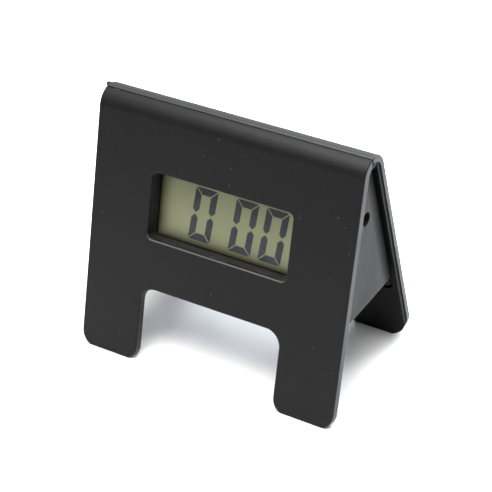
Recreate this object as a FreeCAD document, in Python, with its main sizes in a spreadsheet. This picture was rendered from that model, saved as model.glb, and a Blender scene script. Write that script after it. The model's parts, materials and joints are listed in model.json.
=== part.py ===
"""An A-frame desk alarm clock: front cover, hinged rear stand and a wedge-shaped case between them.

Row frame: +Z up, +Y to the back, the floor at Z = 0 and the origin midway between the front and rear feet.
Most pieces are drawn in a leaning frame of their own: X across the clock, Y into it, Z up along the panel.
"""
import FreeCAD, Part
import math
import os
import re

import Sketcher

Vector = FreeCAD.Vector

# ---------------------------------------------------------------------------------------------------
# Driving dimensions, in millimetres and degrees
# ---------------------------------------------------------------------------------------------------
DIMENSIONS = {
    # the A-frame
    "width": 90.0,
    "height": 79.8,
    "front_lean": 16.2,
    "rear_lean": 14.6,
    "ridge_radius": 6.0,
    # front cover
    "cover_thickness": 2.6,
    "leg_width": 20.4,
    "leg_height": 25.6,
    "crotch_radius": 5.0,
    "front_foot_radius": 5.0,
    "inner_foot_radius": 4.5,
    "foot_sink": 0.2,
    "edge_radius": 0.4,
    "glass_side_border": 3.75,
    "window_height": 21.5,
    "window_drop": 15.8,
    "window_radius": 1.8,
    # hinge under the ridge
    "hinge_bearing": 84.0,
    "roll_gap_angle": 16.5,
    "barrel_clearance": 0.15,
    "pin_diameter": 1.2,
    "pin_clearance": 0.03,
    "pin_end_cover": 1.7,
    "lug_inset": 15.0,
    "lug_width": 5.0,
    "lug_clearance": 0.3,
    "eye_wall": 0.65,
    "post_thickness": 1.5,
    "arm_thickness": 1.8,
    "stand_opening": 70.0,
    # rear stand
    "skin_thickness": 1.9,
    "panel_thickness": 1.4,
    "panel_inset": 0.4,
    "rear_foot_radius": 10.0,
    "stand_screw_inset": 5.0,
    "lower_screw_drop": 55.0,
    "upper_screw_drop": 14.0,
    "stand_screw_radius": 0.9,
    "stand_head_radius": 1.8,
    "stand_head_height": 0.6,
    "driver_slot": 0.5,
    "recess_radius": 3.0,
    "recess_depth": 0.7,
    # case
    "case_bottom_drop": 49.1,
    "case_top_drop": 4.6,
    "parting_setback": 4.1,
    "parting_gap": 0.15,
    "case_wall": 1.6,
    "case_inset": 0.7,
    "stand_gap": 0.9,
    "corner_radius": 1.5,
    "inner_corner_radius": 0.6,
    "side_hole_radius": 2.2,
    "side_hole_drop": 18.7,
    "side_hole_setback": 0.3,
    "top_relief": 0.6,
    # fixings of the case
    "stake_radius": 1.0,
    "stake_head_radius": 1.7,
    "stake_head_height": 0.7,
    "upper_stake_inset": 7.7,
    "upper_stake_drop": 22.59,
    "lower_stake_inset": 4.2,
    "lower_stake_drop": 37.09,
    "case_screw_inset": 3.3,
    "case_screw_drop": 30.09,
    "case_post_radius": 3.0,
    "case_screw_radius": 0.95,
    "case_screw_tip": 5.5,
    "case_screw_seat": 14.0,
    "case_head_radius": 1.9,
    "case_head_height": 1.3,
    # display
    "lens_thickness": 1.0,
    "lens_margin": 1.2,
    "display_depth": 5.85,
    "gasket_thickness": 0.2,
    "gasket_width": 0.9,
    "collar_wall": 2.4,
    "polarizer_thickness": 0.2,
    "glass_thickness": 1.1,
    "reflector_thickness": 0.25,
    "holder_clearance": 0.9,
    "glass_border": 1.2,
    "front_glass_height": 25.8,
    "rear_glass_height": 23.7,
    "film_margin": 0.4,
    "zebra_thickness": 1.6,
    "zebra_inset": 3.0,
    "seat_clearance": 0.15,
    "holder_side": 1.85,
    "holder_rim": 0.75,
    "holder_ledge": 3.0,
    # circuit board
    "board_depth": 9.6,
    "board_thickness": 1.2,
    "board_clearance": 0.4,
    "board_border": 1.5,
    "board_height": 27.2,
    "board_screw_inset": 3.0,
    "upper_board_screw_drop": 14.09,
    "lower_board_screw_drop": 35.09,
    "board_post_radius": 2.1,
    "board_screw_radius": 0.8,
    "board_screw_length": 5.0,
    "board_head_radius": 1.6,
    "board_head_height": 1.0,
    "chip_inset": 8.0,
    "chip_drop": 29.09,
    "chip_radius": 4.2,
    "chip_thickness": 1.3,
    "crystal_inset": 10.5,
    "crystal_drop": 14.59,
    "crystal_radius": 1.0,
    "crystal_length": 6.2,
    "capacitor_length": 2.0,
    "capacitor_width": 1.25,
    "capacitor_thickness": 0.9,
    "capacitor_pitch": 3.2,
    "capacitor_start": -8.0,
    "capacitor_drop": 22.99,
    # controls on the back
    "button_pitch": 13.0,
    "first_button": -26.0,
    "control_drop": 18.29,
    "button_radius": 2.7,
    "button_clearance": 0.2,
    "button_proud": 0.4,
    "button_travel": 0.4,
    "flange_radius": 3.5,
    "flange_thickness": 0.5,
    "switch_side": 4.6,
    "switch_thickness": 1.7,
    "plunger_radius": 1.1,
    "plunger_height": 0.25,
    "press_clearance": 0.05,
    "slider_offset": 16.0,
    "slider_body_width": 8.4,
    "slider_body_height": 3.6,
    "slider_body_thickness": 3.0,
    "knob_width": 2.4,
    "knob_height": 1.9,
    "knob_travel": 3.0,
    "knob_clearance": 0.2,
    "knob_sink": 0.9,
    # buzzer
    "buzzer_radius": 9.0,
    "buzzer_height": 17.0,
    "ceramic_share": 0.75,
    "buzzer_plate_thickness": 0.3,
    "chamber_share": 0.86,
    "ceramic_thickness": 0.25,
    "sound_hole_share": 0.36,
    "chamber_depth": 0.6,
    "sound_hole_radius": 0.6,
    "buzzer_pin_share": 0.87,
    "buzzer_pin_radius": 0.4,
    "buzzer_pin_drop": 22.29,
    # battery
    "cell_diameter": 10.5,
    "cell_length": 43.5,
    "nub_diameter": 3.8,
    "nub_height": 1.0,
    "bay_clearance": 0.2,
    "cell_clearance": 0.3,
    "cell_headroom": 1.0,
    "spring_turns": 3.0,
    "bay_wall": 0.8,
    "spring_length": 3.4,
    "spring_radius": 2.6,
    "wire_radius": 0.3,
    "contact_thickness": 0.5,
    "contact_side": 8.0,
    "tab_height": 3.0,
    "slot_clearance": 0.1,
    "door_height": 12.4,
    "door_thickness": 1.4,
    "door_lift": 0.3,
    "door_lip": 0.6,
    "door_inset": 0.2,
    "tongue_reach": 0.7,
    "door_clearance": 0.15,
    "grip_width": 14.0,
    "grip_depth": 0.4,
    "grip_line": 0.8,
    "grip_pitch": 1.8,
}

# Places that follow from the driving dimensions. "in" is depth behind the cover's front face and "up" is
# height along it; "y" and "z" are level and upright, from the cover's front edge on the floor.
PLACES = {
    "ridge_z": "height - ridge_radius",
    "ridge_y": "(ridge_radius + ridge_z * sin(front_lean)) / cos(front_lean)",
    "depth": "ridge_y + (ridge_radius + ridge_z * sin(rear_lean)) / cos(rear_lean)",
    "ridge_up": "ridge_y * sin(front_lean) + ridge_z * cos(front_lean)",
    "hinge_reach": "ridge_radius - skin_thickness",
    "hinge_y": "ridge_y + hinge_reach * cos(hinge_bearing)",
    "hinge_z": "ridge_z + hinge_reach * sin(hinge_bearing)",
    "hinge_in": "ridge_radius + hinge_reach * cos(hinge_bearing + front_lean)",
    "hinge_up": "ridge_up + hinge_reach * sin(hinge_bearing + front_lean)",
    "roll_end_angle": "hinge_bearing + roll_gap_angle + front_lean",
    "seat_radius": "skin_thickness + barrel_clearance",
    "pin_radius": "pin_diameter / 2",
    "bore_radius": "pin_radius + pin_clearance",
    "eye_radius": "bore_radius + eye_wall",
    "bore_half": "width / 2 - pin_end_cover",
    "cover_inner_radius": "ridge_radius - cover_thickness",
    "cutout_half": "width / 2 - leg_width",
    "window_top": "ridge_up - window_drop",
    "window_bottom": "window_top - window_height",
    "ridge_in_stand": "-hinge_reach * cos(hinge_bearing - rear_lean)",
    "ridge_up_stand": "-hinge_reach * sin(hinge_bearing - rear_lean)",
    "stand_outside": "ridge_in_stand + ridge_radius",
    "stand_split": "stand_outside - skin_thickness",
    "stand_inside": "stand_split - panel_thickness",
    "split_radius": "ridge_radius - skin_thickness",
    "panel_half": "width / 2 - panel_inset",
    "nose_start": "hinge_bearing - rear_lean",
    "back_offset": "ridge_radius - skin_thickness - panel_thickness - stand_gap",
    "lean_sum": "front_lean + rear_lean",
    "case_half": "width / 2 - case_inset",
    "inner_half": "case_half - case_wall",
    "inner_bottom": "case_bottom + case_wall",
    "display_rear": "display_depth + polarizer_thickness + 2 * glass_thickness + reflector_thickness",
    "rear_glass_in": "display_depth + polarizer_thickness + glass_thickness",
    "glass_top": "glass_bottom + front_glass_height",
    "rear_glass_top": "glass_bottom + rear_glass_height",
    "zebra_bottom": "rear_glass_top + seat_clearance",
    "board_back": "board_depth + board_thickness",
    "cell_radius": "cell_diameter / 2",
    "cell_z": "inner_bottom + cell_clearance + cell_radius",
    "cell_right": "cell_left + cell_length",
    "bay_left": "cell_left - spring_length - contact_thickness",
    "bay_right": "cell_right + nub_height + contact_thickness",
    "door_left": "bay_left + door_inset",
    "door_right": "bay_right - door_inset",
    "cavity_in": "cover_thickness + case_wall",
    "collar_end": "display_depth - gasket_thickness",
    "lens_front": "collar_end - lens_thickness",
    "front_parting": "parting_depth - parting_gap / 2",
    "back_parting": "parting_depth + parting_gap / 2",
    "switch_top": "board_back + switch_thickness + plunger_height",
    "button_bottom": "switch_top + button_travel + press_clearance",
    "slider_top": "board_back + slider_body_thickness",
    "disc_inset": "case_wall + buzzer_plate_thickness",
    "upper_stake_height": "ridge_up - upper_stake_drop",
    "lower_stake_height": "ridge_up - lower_stake_drop",
    "case_screw_height": "ridge_up - case_screw_drop",
    "upper_board_screw": "ridge_up - upper_board_screw_drop",
    "lower_board_screw": "ridge_up - lower_board_screw_drop",
    "chip_height": "ridge_up - chip_drop",
    "crystal_height": "ridge_up - crystal_drop",
    "capacitor_height": "ridge_up - capacitor_drop",
    "control_height": "ridge_up - control_drop",
    "buzzer_pin_height": "ridge_up - buzzer_pin_drop",
    "glass_bottom": "window_bottom - glass_border",
    "board_bottom": "window_bottom - board_border",
    "case_bottom": "height - case_bottom_drop",
    "case_top": "height - case_top_drop",
    "side_hole_height": "height - side_hole_drop",
    "parting_depth": "ridge_y - parting_setback",
    "case_screw_offset": "inner_half - case_screw_inset",
    "upper_stake_offset": "inner_half - upper_stake_inset",
    "lower_stake_offset": "inner_half - lower_stake_inset",
    "lug_offset": "width / 2 - lug_inset",
    "board_width": "2 * (case_screw_offset - case_post_radius - board_clearance)",
    "board_screw_offset": "board_width / 2 - board_screw_inset",
    "holder_half": "board_screw_offset - board_post_radius - holder_clearance",
    "glass_width": "2 * (holder_half - holder_side - seat_clearance)",
    "window_width": "glass_width - 2 * glass_side_border",
    "zebra_width": "glass_width - 2 * zebra_inset",
    "chip_offset": "board_screw_offset - chip_inset",
    "crystal_offset": "board_screw_offset - crystal_inset",
    "bay_start": "case_post_radius + bay_clearance + bay_wall - case_screw_offset",
    "cell_left": "bay_start + contact_thickness + spring_length",
    "buzzer_offset": "(bay_right + bay_wall + inner_half) / 2",
    "ceramic_radius": "ceramic_share * buzzer_radius",
    "chamber_radius": "chamber_share * buzzer_radius",
    "sound_hole_pitch": "sound_hole_share * buzzer_radius",
    "buzzer_pin_spacing": "buzzer_pin_share * buzzer_radius",
}


def formula(text):
    """Return text with every named place written out and every sheet name prefixed by the sheet."""
    def write_out(match):
        word = match.group(0)
        if word in PLACES:
            return "(" + formula(PLACES[word]) + ")"
        if word in DIMENSIONS:
            return "dims." + word
        return word
    return re.sub(r"[a-z][a-z_]*", write_out, str(text))


# ---------------------------------------------------------------------------------------------------
# The document and its sheet
# ---------------------------------------------------------------------------------------------------
doc = FreeCAD.newDocument("alarm_clock")
dims = doc.addObject("Spreadsheet::Sheet", "dims")
for row, (name, size) in enumerate(DIMENSIONS.items(), start=1):
    dims.set(f"A{row}", name)
    dims.set(f"B{row}", str(size))
    dims.setAlias(f"B{row}", name)
doc.recompute()

PIECES = []


def number(text):
    """Return the value of a formula as a plain number."""
    value = dims.evalExpression(formula(text))
    return float(getattr(value, "Value", value))


def front_y(z, inset="0"):
    """Level distance of the plane that lies `inset` behind the cover's back face, at height z."""
    return f"((cover_thickness + ({inset}) + ({z}) * sin(front_lean)) / cos(front_lean))"


def back_y(z, inset="0"):
    """Level distance of the plane that lies `inset` inside the case's back face, at height z."""
    return f"(ridge_y + (back_offset - ({inset}) - (({z}) - ridge_z) * sin(rear_lean)) / cos(rear_lean))"


def back_in(up, inset="0"):
    """Depth of that same plane where it crosses the height `up` along the front cover."""
    reach = f"back_offset - ({inset}) + ridge_y * cos(rear_lean) + ridge_z * sin(rear_lean)"
    return f"(({reach} - ({up}) * sin(lean_sum)) / cos(lean_sum))"


def bottom_up(depth_in, inset="0"):
    """Height along the cover of the level plane `inset` above the case's bottom, at that depth."""
    return f"((case_bottom + ({inset}) + ({depth_in}) * sin(front_lean)) / cos(front_lean))"


def lean(y, z):
    """Turn a level place (y, z) into the front cover's leaning frame (in, up)."""
    depth_in = f"(({y}) * cos(front_lean) - ({z}) * sin(front_lean))"
    up = f"(({y}) * sin(front_lean) + ({z}) * cos(front_lean))"
    return depth_in, up


def on_back(up, inset):
    """Place `up` along the case's back face and `inset` inside it, in the leaning frame."""
    level = f"(back_y_bottom - ({up}) * sin(rear_lean) - ({inset}) * cos(rear_lean))"
    upright = f"(case_bottom + ({up}) * cos(rear_lean) - ({inset}) * sin(rear_lean))"
    return lean(level, upright)


PLACES["back_y_bottom"] = back_y("case_bottom")
PLACES["cell_y"] = back_y("cell_z", "case_wall + cell_clearance + cell_radius")
PLACES["cell_in"], PLACES["cell_up"] = lean("cell_y", "cell_z")
PLACES["bay_front"] = "cell_in - cell_radius - cell_clearance"
PLACES["bay_top"] = "cell_up + cell_radius + cell_headroom"

# Frames that the pieces are drawn in: where their origin lies and how far they turn about X.
LEANING = {"y": "-depth / 2", "z": "0", "lean": "front_lean", "way": -1}
STAND = {"y": "hinge_y - depth / 2", "z": "hinge_z", "lean": "rear_lean", "way": 1}
CASE_BACK = {"y": "back_y_bottom - depth / 2", "z": "case_bottom", "lean": "rear_lean", "way": 1}


# ---------------------------------------------------------------------------------------------------
# Drawing helpers
# ---------------------------------------------------------------------------------------------------
def put_in_frame(piece, frame):
    """Place a finished piece, and bind its place to the sheet."""
    turn = FreeCAD.Rotation(Vector(frame["way"], 0, 0), number(frame["lean"]))
    piece.Placement = FreeCAD.Placement(Vector(0, number(frame["y"]), number(frame["z"])), turn)
    piece.setExpression("Placement.Base.y", formula(frame["y"]))
    piece.setExpression("Placement.Base.z", formula(frame["z"]))
    piece.setExpression("Placement.Rotation.Angle", formula(frame["lean"]))
    PIECES.append(piece)
    return piece


def new_body(name, frame):
    body = doc.addObject("PartDesign::Body", name)
    body.Label = name
    return put_in_frame(body, frame)


def bind_place(sketch, index, position, x, y):
    """Hold one point of a sketch at (x, y) from the sketch's origin."""
    for kind, text in (("DistanceX", x), ("DistanceY", y)):
        constraint = sketch.addConstraint(Sketcher.Constraint(kind, -1, 1, index, position, number(text)))
        sketch.setExpression(f"Constraints[{constraint}]", formula(text))


def draw_outline(sketch, corners):
    """Draw a closed outline through corners, each a pair of formulas.

    A corner of four formulas (x, y, centre x, centre y) is reached along an arc about that centre.
    """
    points = [Vector(number(corner[0]), number(corner[1]), 0) for corner in corners]
    pieces = []
    for start, finish, corner in zip(points[-1:] + points[:-1], points, corners):
        if len(corner) == 2:
            pieces.append((sketch.addGeometry(Part.LineSegment(start, finish)), 1, 2))
            continue
        centre = Vector(number(corner[2]), number(corner[3]), 0)
        left_turn = (start - centre).cross(finish - centre).z > 0
        first, last = (start, finish) if left_turn else (finish, start)
        angles = [math.atan2(end.y - centre.y, end.x - centre.x) for end in (first, last)]
        circle = Part.Circle(centre, Vector(0, 0, 1), (start - centre).Length)
        arc = sketch.addGeometry(Part.ArcOfCircle(circle, *angles))
        pieces.append((arc, 1, 2) if left_turn else (arc, 2, 1))
        middle = sketch.addConstraint(Sketcher.Constraint("DistanceX", -1, 1, arc, 3, centre.x))
        sketch.setExpression(f"Constraints[{middle}]", formula(corner[2]))
    for (index, _, end), (following, start, _) in zip(pieces, pieces[1:] + pieces[:1]):
        sketch.addConstraint(Sketcher.Constraint("Coincident", index, end, following, start))
    for (index, _, end), corner in zip(pieces, corners):
        bind_place(sketch, index, end, corner[0], corner[1])


def draw_rounded(sketch, left, right, low, high, radius):
    """A rectangle with round corners."""
    inner_left = f"({left}) + {radius}"
    inner_right = f"({right}) - {radius}"
    inner_low = f"({low}) + {radius}"
    inner_high = f"({high}) - {radius}"
    draw_outline(sketch, [
        (inner_right, low), (right, inner_low, inner_right, inner_low),
        (right, inner_high), (inner_right, high, inner_right, inner_high),
        (inner_left, high), (left, inner_high, inner_left, inner_high),
        (left, inner_low), (inner_left, low, inner_left, inner_low)])


def draw_leg_gap(sketch, floor):
    """The gap between the legs: round at its top corners, and flared where it meets the feet."""
    flare = "cutout_half + inner_foot_radius"
    corner = "cutout_half - crotch_radius"
    foot_top = f"{floor} + inner_foot_radius"
    arch_low = f"{floor} + leg_height - crotch_radius"
    arch_top = f"{floor} + leg_height"
    below = f"{floor} - 5"
    draw_outline(sketch, [
        (flare, below), (flare, floor), ("cutout_half", foot_top, flare, foot_top),
        ("cutout_half", arch_low), (corner, arch_top, corner, arch_low),
        (f"-({corner})", arch_top), ("-cutout_half", arch_low, f"-({corner})", arch_low),
        ("-cutout_half", foot_top), (f"-({flare})", floor, f"-({flare})", foot_top), (f"-({flare})", below)])


def draw_foot_corner(sketch, side, floor, radius):
    """What is cut off the outer corner of one foot; side is 1 at the right and -1 at the left."""
    edge = f"{side} * width / 2"
    outside = f"{side} * (width / 2 + 1)"
    inside = f"{side} * (width / 2 - {radius})"
    top = f"{floor} + {radius}"
    below = f"{floor} - 5"
    draw_outline(sketch, [
        (inside, below), (inside, floor), (edge, top, inside, top), (outside, top), (outside, below)])


def draw_rectangle(sketch, left, right, low, high):
    draw_outline(sketch, [(left, low), (right, low), (right, high), (left, high)])


def draw_circle(sketch, x, y, radius):
    centre = Vector(number(x), number(y), 0)
    circle = sketch.addGeometry(Part.Circle(centre, Vector(0, 0, 1), number(radius)))
    bind_place(sketch, circle, 3, x, y)
    size = sketch.addConstraint(Sketcher.Constraint("Radius", circle, number(radius)))
    sketch.setExpression(f"Constraints[{size}]", formula(radius))


PLANES = {"x": "YZ_Plane", "y": "XZ_Plane", "z": "XY_Plane"}


def extrude(body, kind, name, axis, start, end, *drawings):
    """Pad or pocket drawings along an axis of the body from start to end.

    A drawing is a function and its arguments. Across X the sketch shows (Y, Z), along Y it shows (X, Z).
    """
    sketch = body.newObject("Sketcher::SketchObject", name + "_sketch")
    plane = [item for item in body.Origin.OriginFeatures if item.Role == PLANES[axis]][0]
    sketch.AttachmentSupport = [(plane, "")]
    sketch.MapMode = "FlatFace"
    offset = f"-({start})" if axis == "y" else start
    sketch.AttachmentOffset = FreeCAD.Placement(Vector(0, 0, number(offset)), FreeCAD.Rotation())
    sketch.setExpression("AttachmentOffset.Base.z", formula(offset))
    for draw, *arguments in drawings:
        draw(sketch, *arguments)
    solid = body.newObject("PartDesign::" + kind, name)
    solid.Profile = sketch
    solid.Length = number(f"({end}) - ({start})")
    solid.setExpression("Length", formula(f"({end}) - ({start})"))
    solid.Reversed = (kind == "Pad") == (axis == "y")
    return solid


def turned_about_x(angle):
    """Rotation that lays a cylinder along X, with its first edge at an angle from +Y towards +Z."""
    cosine = math.cos(math.radians(angle))
    sine = math.sin(math.radians(angle))
    return FreeCAD.Rotation(Vector(0, cosine, sine), Vector(0, -sine, cosine), Vector(1, 0, 0))


def cylinder_across(body, kind, name, y, z, radius, half, first="0", last="360"):
    """Add to or cut from a body a cylinder, or a sector of one, that runs across it from -half to half."""
    piece = body.newObject("PartDesign::" + kind + "Cylinder", name)
    piece.Placement = FreeCAD.Placement(
        Vector(-number(half), number(y), number(z)), turned_about_x(number(first)))
    piece.setExpression("Placement.Base.x", formula(f"-({half})"))
    piece.setExpression("Placement.Base.y", formula(y))
    piece.setExpression("Placement.Base.z", formula(z))
    for field, text in (("Radius", radius), ("Height", f"2 * ({half})"), ("Angle", f"({last}) - ({first})")):
        setattr(piece, field, number(text))
        piece.setExpression(field, formula(text))
    return piece


def put_at(piece, frame, x, y, z, before=None):
    """Place a primitive with its own origin at (x, y, z) of a frame, turned by `before` first."""
    turn = FreeCAD.Rotation(Vector(frame["way"], 0, 0), number(frame["lean"]))
    if before is not None:
        turn = turn.multiply(before)
    lean_angle = f"({frame['way']} * {frame['lean']})"
    place = {
        "x": x,
        "y": f"{frame['y']} + ({y}) * cos{lean_angle} - ({z}) * sin{lean_angle}",
        "z": f"{frame['z']} + ({y}) * sin{lean_angle} + ({z}) * cos{lean_angle}",
    }
    piece.Placement = FreeCAD.Placement(Vector(*[number(place[key]) for key in "xyz"]), turn)
    for key, text in place.items():
        piece.setExpression("Placement.Base." + key, formula(text))
    PIECES.append(piece)
    return piece


def block(name, frame, left, right, near, far, low, high):
    """A plain rectangular piece between formulas, in one of the frames."""
    box = doc.addObject("Part::Box", name)
    box.Label = name
    for field, text in (("Length", f"({right}) - ({left})"), ("Width", f"({far}) - ({near})"),
                        ("Height", f"({high}) - ({low})")):
        setattr(box, field, number(text))
        box.setExpression(field, formula(text))
    return put_at(box, frame, left, near, low)


def both_sides(x, z):
    return [(x, z), (f"-({x})", z)]


# ---------------------------------------------------------------------------------------------------
# Front cover and rear stand
# ---------------------------------------------------------------------------------------------------
def cut_legs(body, name, start, end, floor, foot_radius):
    """Cut a leaning plate into two legs with round feet."""
    extrude(body, "Pocket", name, "y", start, end, (draw_leg_gap, floor),
            (draw_foot_corner, 1, floor, foot_radius), (draw_foot_corner, -1, floor, foot_radius))


def add_lug(body, name, middle):
    """Hinge lug under the roll: an arm from the cover, a post and an eye for the pin."""
    left = f"{middle} - lug_width / 2"
    right = f"{middle} + lug_width / 2"
    arm_top = "hinge_up - seat_radius"
    extrude(body, "Pad", name + "_arm", "x", left, right,
            (draw_rectangle, "cover_thickness / 2", "hinge_in + post_thickness / 2",
             f"{arm_top} - arm_thickness", arm_top))
    extrude(body, "Pad", name + "_post", "x", left, right,
            (draw_rectangle, "hinge_in - post_thickness / 2", "hinge_in + post_thickness / 2",
             f"{arm_top} - arm_thickness / 2", "hinge_up"))
    extrude(body, "Pad", name + "_eye", "x", left, right, (draw_circle, "hinge_in", "hinge_up", "eye_radius"))


WINDOW = ("-window_width / 2", "window_width / 2", "window_bottom", "window_top", "window_radius")


def front_cover():
    body = new_body("front_cover", LEANING)
    side = [("0", "0"), ("cover_thickness", "cover_thickness * tan(front_lean)"),
            ("cover_thickness", "ridge_up"), ("0", "ridge_up")]
    extrude(body, "Pad", "cover_plate", "x", "-width / 2", "width / 2", (draw_outline, side))
    cylinder_across(body, "Additive", "cover_roll", "ridge_radius", "ridge_up", "ridge_radius", "width / 2",
                    "roll_end_angle", "180")
    cylinder_across(body, "Subtractive", "roll_inside", "ridge_radius", "ridge_up", "cover_inner_radius",
                    "width / 2")
    cylinder_across(body, "Subtractive", "barrel_seat", "hinge_in", "hinge_up", "seat_radius", "width / 2")
    extrude(body, "Pocket", "display_window", "y", "-1", "cover_thickness + 1", (draw_rounded, *WINDOW))
    cut_legs(body, "legs", "-1", "cover_thickness + 1", "-foot_sink", "front_foot_radius")
    soften_outside(body, "soft_edge", "0", "ridge_radius", "ridge_up")
    for side_name, middle in (("left_lug", "-lug_offset"), ("right_lug", "lug_offset")):
        add_lug(body, side_name, f"({middle})")
    cylinder_across(body, "Subtractive", "pin_bore", "hinge_in", "hinge_up", "bore_radius", "width / 2")
    stakes = stake_places()
    seat = "cover_thickness + case_wall"
    top = f"{seat} + stake_head_height"
    extrude(body, "Pad", "stakes", "y", "cover_thickness / 2", top,
            *[(draw_circle, x, z, "stake_radius") for x, z in stakes])
    extrude(body, "Pad", "stake_heads", "y", seat, top,
            *[(draw_circle, x, z, "stake_head_radius") for x, z in stakes])
    return body


def soften_outside(body, name, face_in, ridge_in, ridge_up):
    """Break the sharp edge all round a leaning panel's outer face, the ends of its roll included."""
    doc.recompute()
    base = body.Tip
    face, centre_in, centre_up = number(face_in), number(ridge_in), number(ridge_up)
    reach, half = number("ridge_radius"), number("width / 2")
    names = []
    for index, edge in enumerate(base.Shape.Edges, start=1):
        middle = edge.valueAt((edge.FirstParameter + edge.LastParameter) / 2)
        on_face = all(abs(point.y - face) < 1e-4 for point in [middle] + [v.Point for v in edge.Vertexes])
        from_ridge = math.hypot(middle.y - centre_in, middle.z - centre_up)
        on_roll = abs(from_ridge - reach) < 1e-4 and abs(abs(middle.x) - half) < 1e-4 and middle.z > centre_up
        tangent_joint = on_face and abs(middle.z - centre_up) < 1e-4
        if (on_face or on_roll) and not tangent_joint:
            names.append(f"Edge{index}")
    soft = body.newObject("PartDesign::Fillet", name)
    soft.Base = (base, names)
    soft.Radius = number("edge_radius")
    soft.setExpression("Radius", formula("edge_radius"))
    return soft


def stake_places():
    return (both_sides("upper_stake_offset", "upper_stake_height")
            + both_sides("lower_stake_offset", "lower_stake_height"))


def stand_floor(depth_in):
    """Height, in the stand's frame, where the floor crosses it at a depth from the hinge."""
    return f"(-(hinge_z + ({depth_in}) * sin(rear_lean)) / cos(rear_lean))"


def clear_lugs(body, name):
    """Cut the stand's barrel away round each lug, over the whole swing of the stand."""
    for side_name, middle in (("left", "-lug_offset"), ("right", "lug_offset")):
        left = f"({middle}) - lug_width / 2 - lug_clearance"
        right = f"({middle}) + lug_width / 2 + lug_clearance"
        reach = "2 * skin_thickness"
        first = "-90 - front_lean - rear_lean - stand_opening - post_half_angle"
        last = "-90 - front_lean - rear_lean + 3 + post_half_angle"
        corners = [("0", "0")]
        steps = 4
        for step in range(steps + 1):
            angle = f"({last} + ({first} - ({last})) * {step} / {steps})"
            corners.append((f"{reach} * cos({angle})", f"{reach} * sin({angle})"))
        extrude(body, "Pocket", f"{name}_{side_name}_sweep", "x", left, right, (draw_outline, corners))
        extrude(body, "Pocket", f"{name}_{side_name}_eye", "x", left, right,
                (draw_circle, "0", "0", "eye_radius + barrel_clearance"))


PLACES["post_half_angle"] = "asin((post_thickness / 2 + barrel_clearance) / eye_radius) / 1deg"


def stand_screw_places():
    drops = ("-lower_screw_drop", "-upper_screw_drop")
    return [spot for drop in drops for spot in both_sides("width / 2 - stand_screw_inset", drop)]


def stand_cover():
    """Outer skin of the stand, with the upper half of the hinge barrel as its nose."""
    body = new_body("stand_cover", STAND)
    side = [("stand_split", stand_floor("stand_split")), ("stand_outside", stand_floor("stand_outside")),
            ("stand_outside", "ridge_up_stand"), ("stand_split", "ridge_up_stand")]
    extrude(body, "Pad", "skin_plate", "x", "-width / 2", "width / 2", (draw_outline, side))
    cylinder_across(body, "Additive", "skin_top", "ridge_in_stand", "ridge_up_stand", "ridge_radius",
                    "width / 2", "0", "nose_start")
    cylinder_across(body, "Subtractive", "skin_inside", "ridge_in_stand", "ridge_up_stand", "split_radius",
                    "width / 2")
    cylinder_across(body, "Additive", "nose", "0", "0", "skin_thickness", "width / 2", "nose_start",
                    "nose_start + 90")
    cut_legs(body, "skin_legs", "stand_split - 1", "stand_outside + 1",
             f"{stand_floor('stand_outside')} - foot_sink", "rear_foot_radius")
    soften_outside(body, "skin_edge", "stand_outside", "ridge_in_stand", "ridge_up_stand")
    cylinder_across(body, "Subtractive", "skin_bore", "0", "0", "bore_radius", "bore_half")
    clear_lugs(body, "skin")
    extrude(body, "Pocket", "skin_pilots", "y", "stand_split - 0.5", "stand_split + skin_thickness * 0.65",
            *[(draw_circle, x, z, "stand_screw_radius + pin_clearance") for x, z in stand_screw_places()])
    return body


def stand_panel():
    """Inner layer of the stand, with the lower half of the hinge barrel."""
    body = new_body("stand_panel", STAND)
    side = [("stand_inside", stand_floor("stand_inside")), ("stand_split", stand_floor("stand_split")),
            ("stand_split", "ridge_up_stand"), ("stand_inside", "ridge_up_stand")]
    extrude(body, "Pad", "panel_plate", "x", "-panel_half", "panel_half", (draw_outline, side))
    cylinder_across(body, "Additive", "panel_top", "ridge_in_stand", "ridge_up_stand", "split_radius",
                    "panel_half", "0", "nose_start")
    crossing = "sqrt(skin_thickness ^ 2 - stand_inside ^ 2)"
    inside = [("0", "0"), ("stand_inside", f"-{crossing}"), ("stand_inside", "ridge_up_stand - 1"),
              ("ridge_in_stand - 1", "ridge_up_stand - 1"), ("ridge_in_stand - 1", "0")]
    extrude(body, "Pocket", "panel_inside", "x", "-panel_half", "panel_half", (draw_outline, inside))
    cylinder_across(body, "Additive", "barrel", "0", "0", "skin_thickness", "panel_half", "nose_start + 90",
                    "360 - acos(stand_inside / skin_thickness) / 1deg")
    cut_legs(body, "panel_legs", "stand_inside - 1", "stand_split + 1",
             f"{stand_floor('stand_outside')} - foot_sink", "rear_foot_radius")
    cylinder_across(body, "Subtractive", "panel_bore", "0", "0", "bore_radius", "bore_half")
    clear_lugs(body, "panel")
    places = stand_screw_places()
    extrude(body, "Pocket", "recesses", "y", "stand_inside - 1", "stand_inside + recess_depth",
            *[(draw_circle, x, z, "recess_radius") for x, z in places])
    extrude(body, "Pocket", "panel_holes", "y", "stand_inside", "stand_split + 0.5",
            *[(draw_circle, x, z, "stand_screw_radius + pin_clearance") for x, z in places])
    return body


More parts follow.
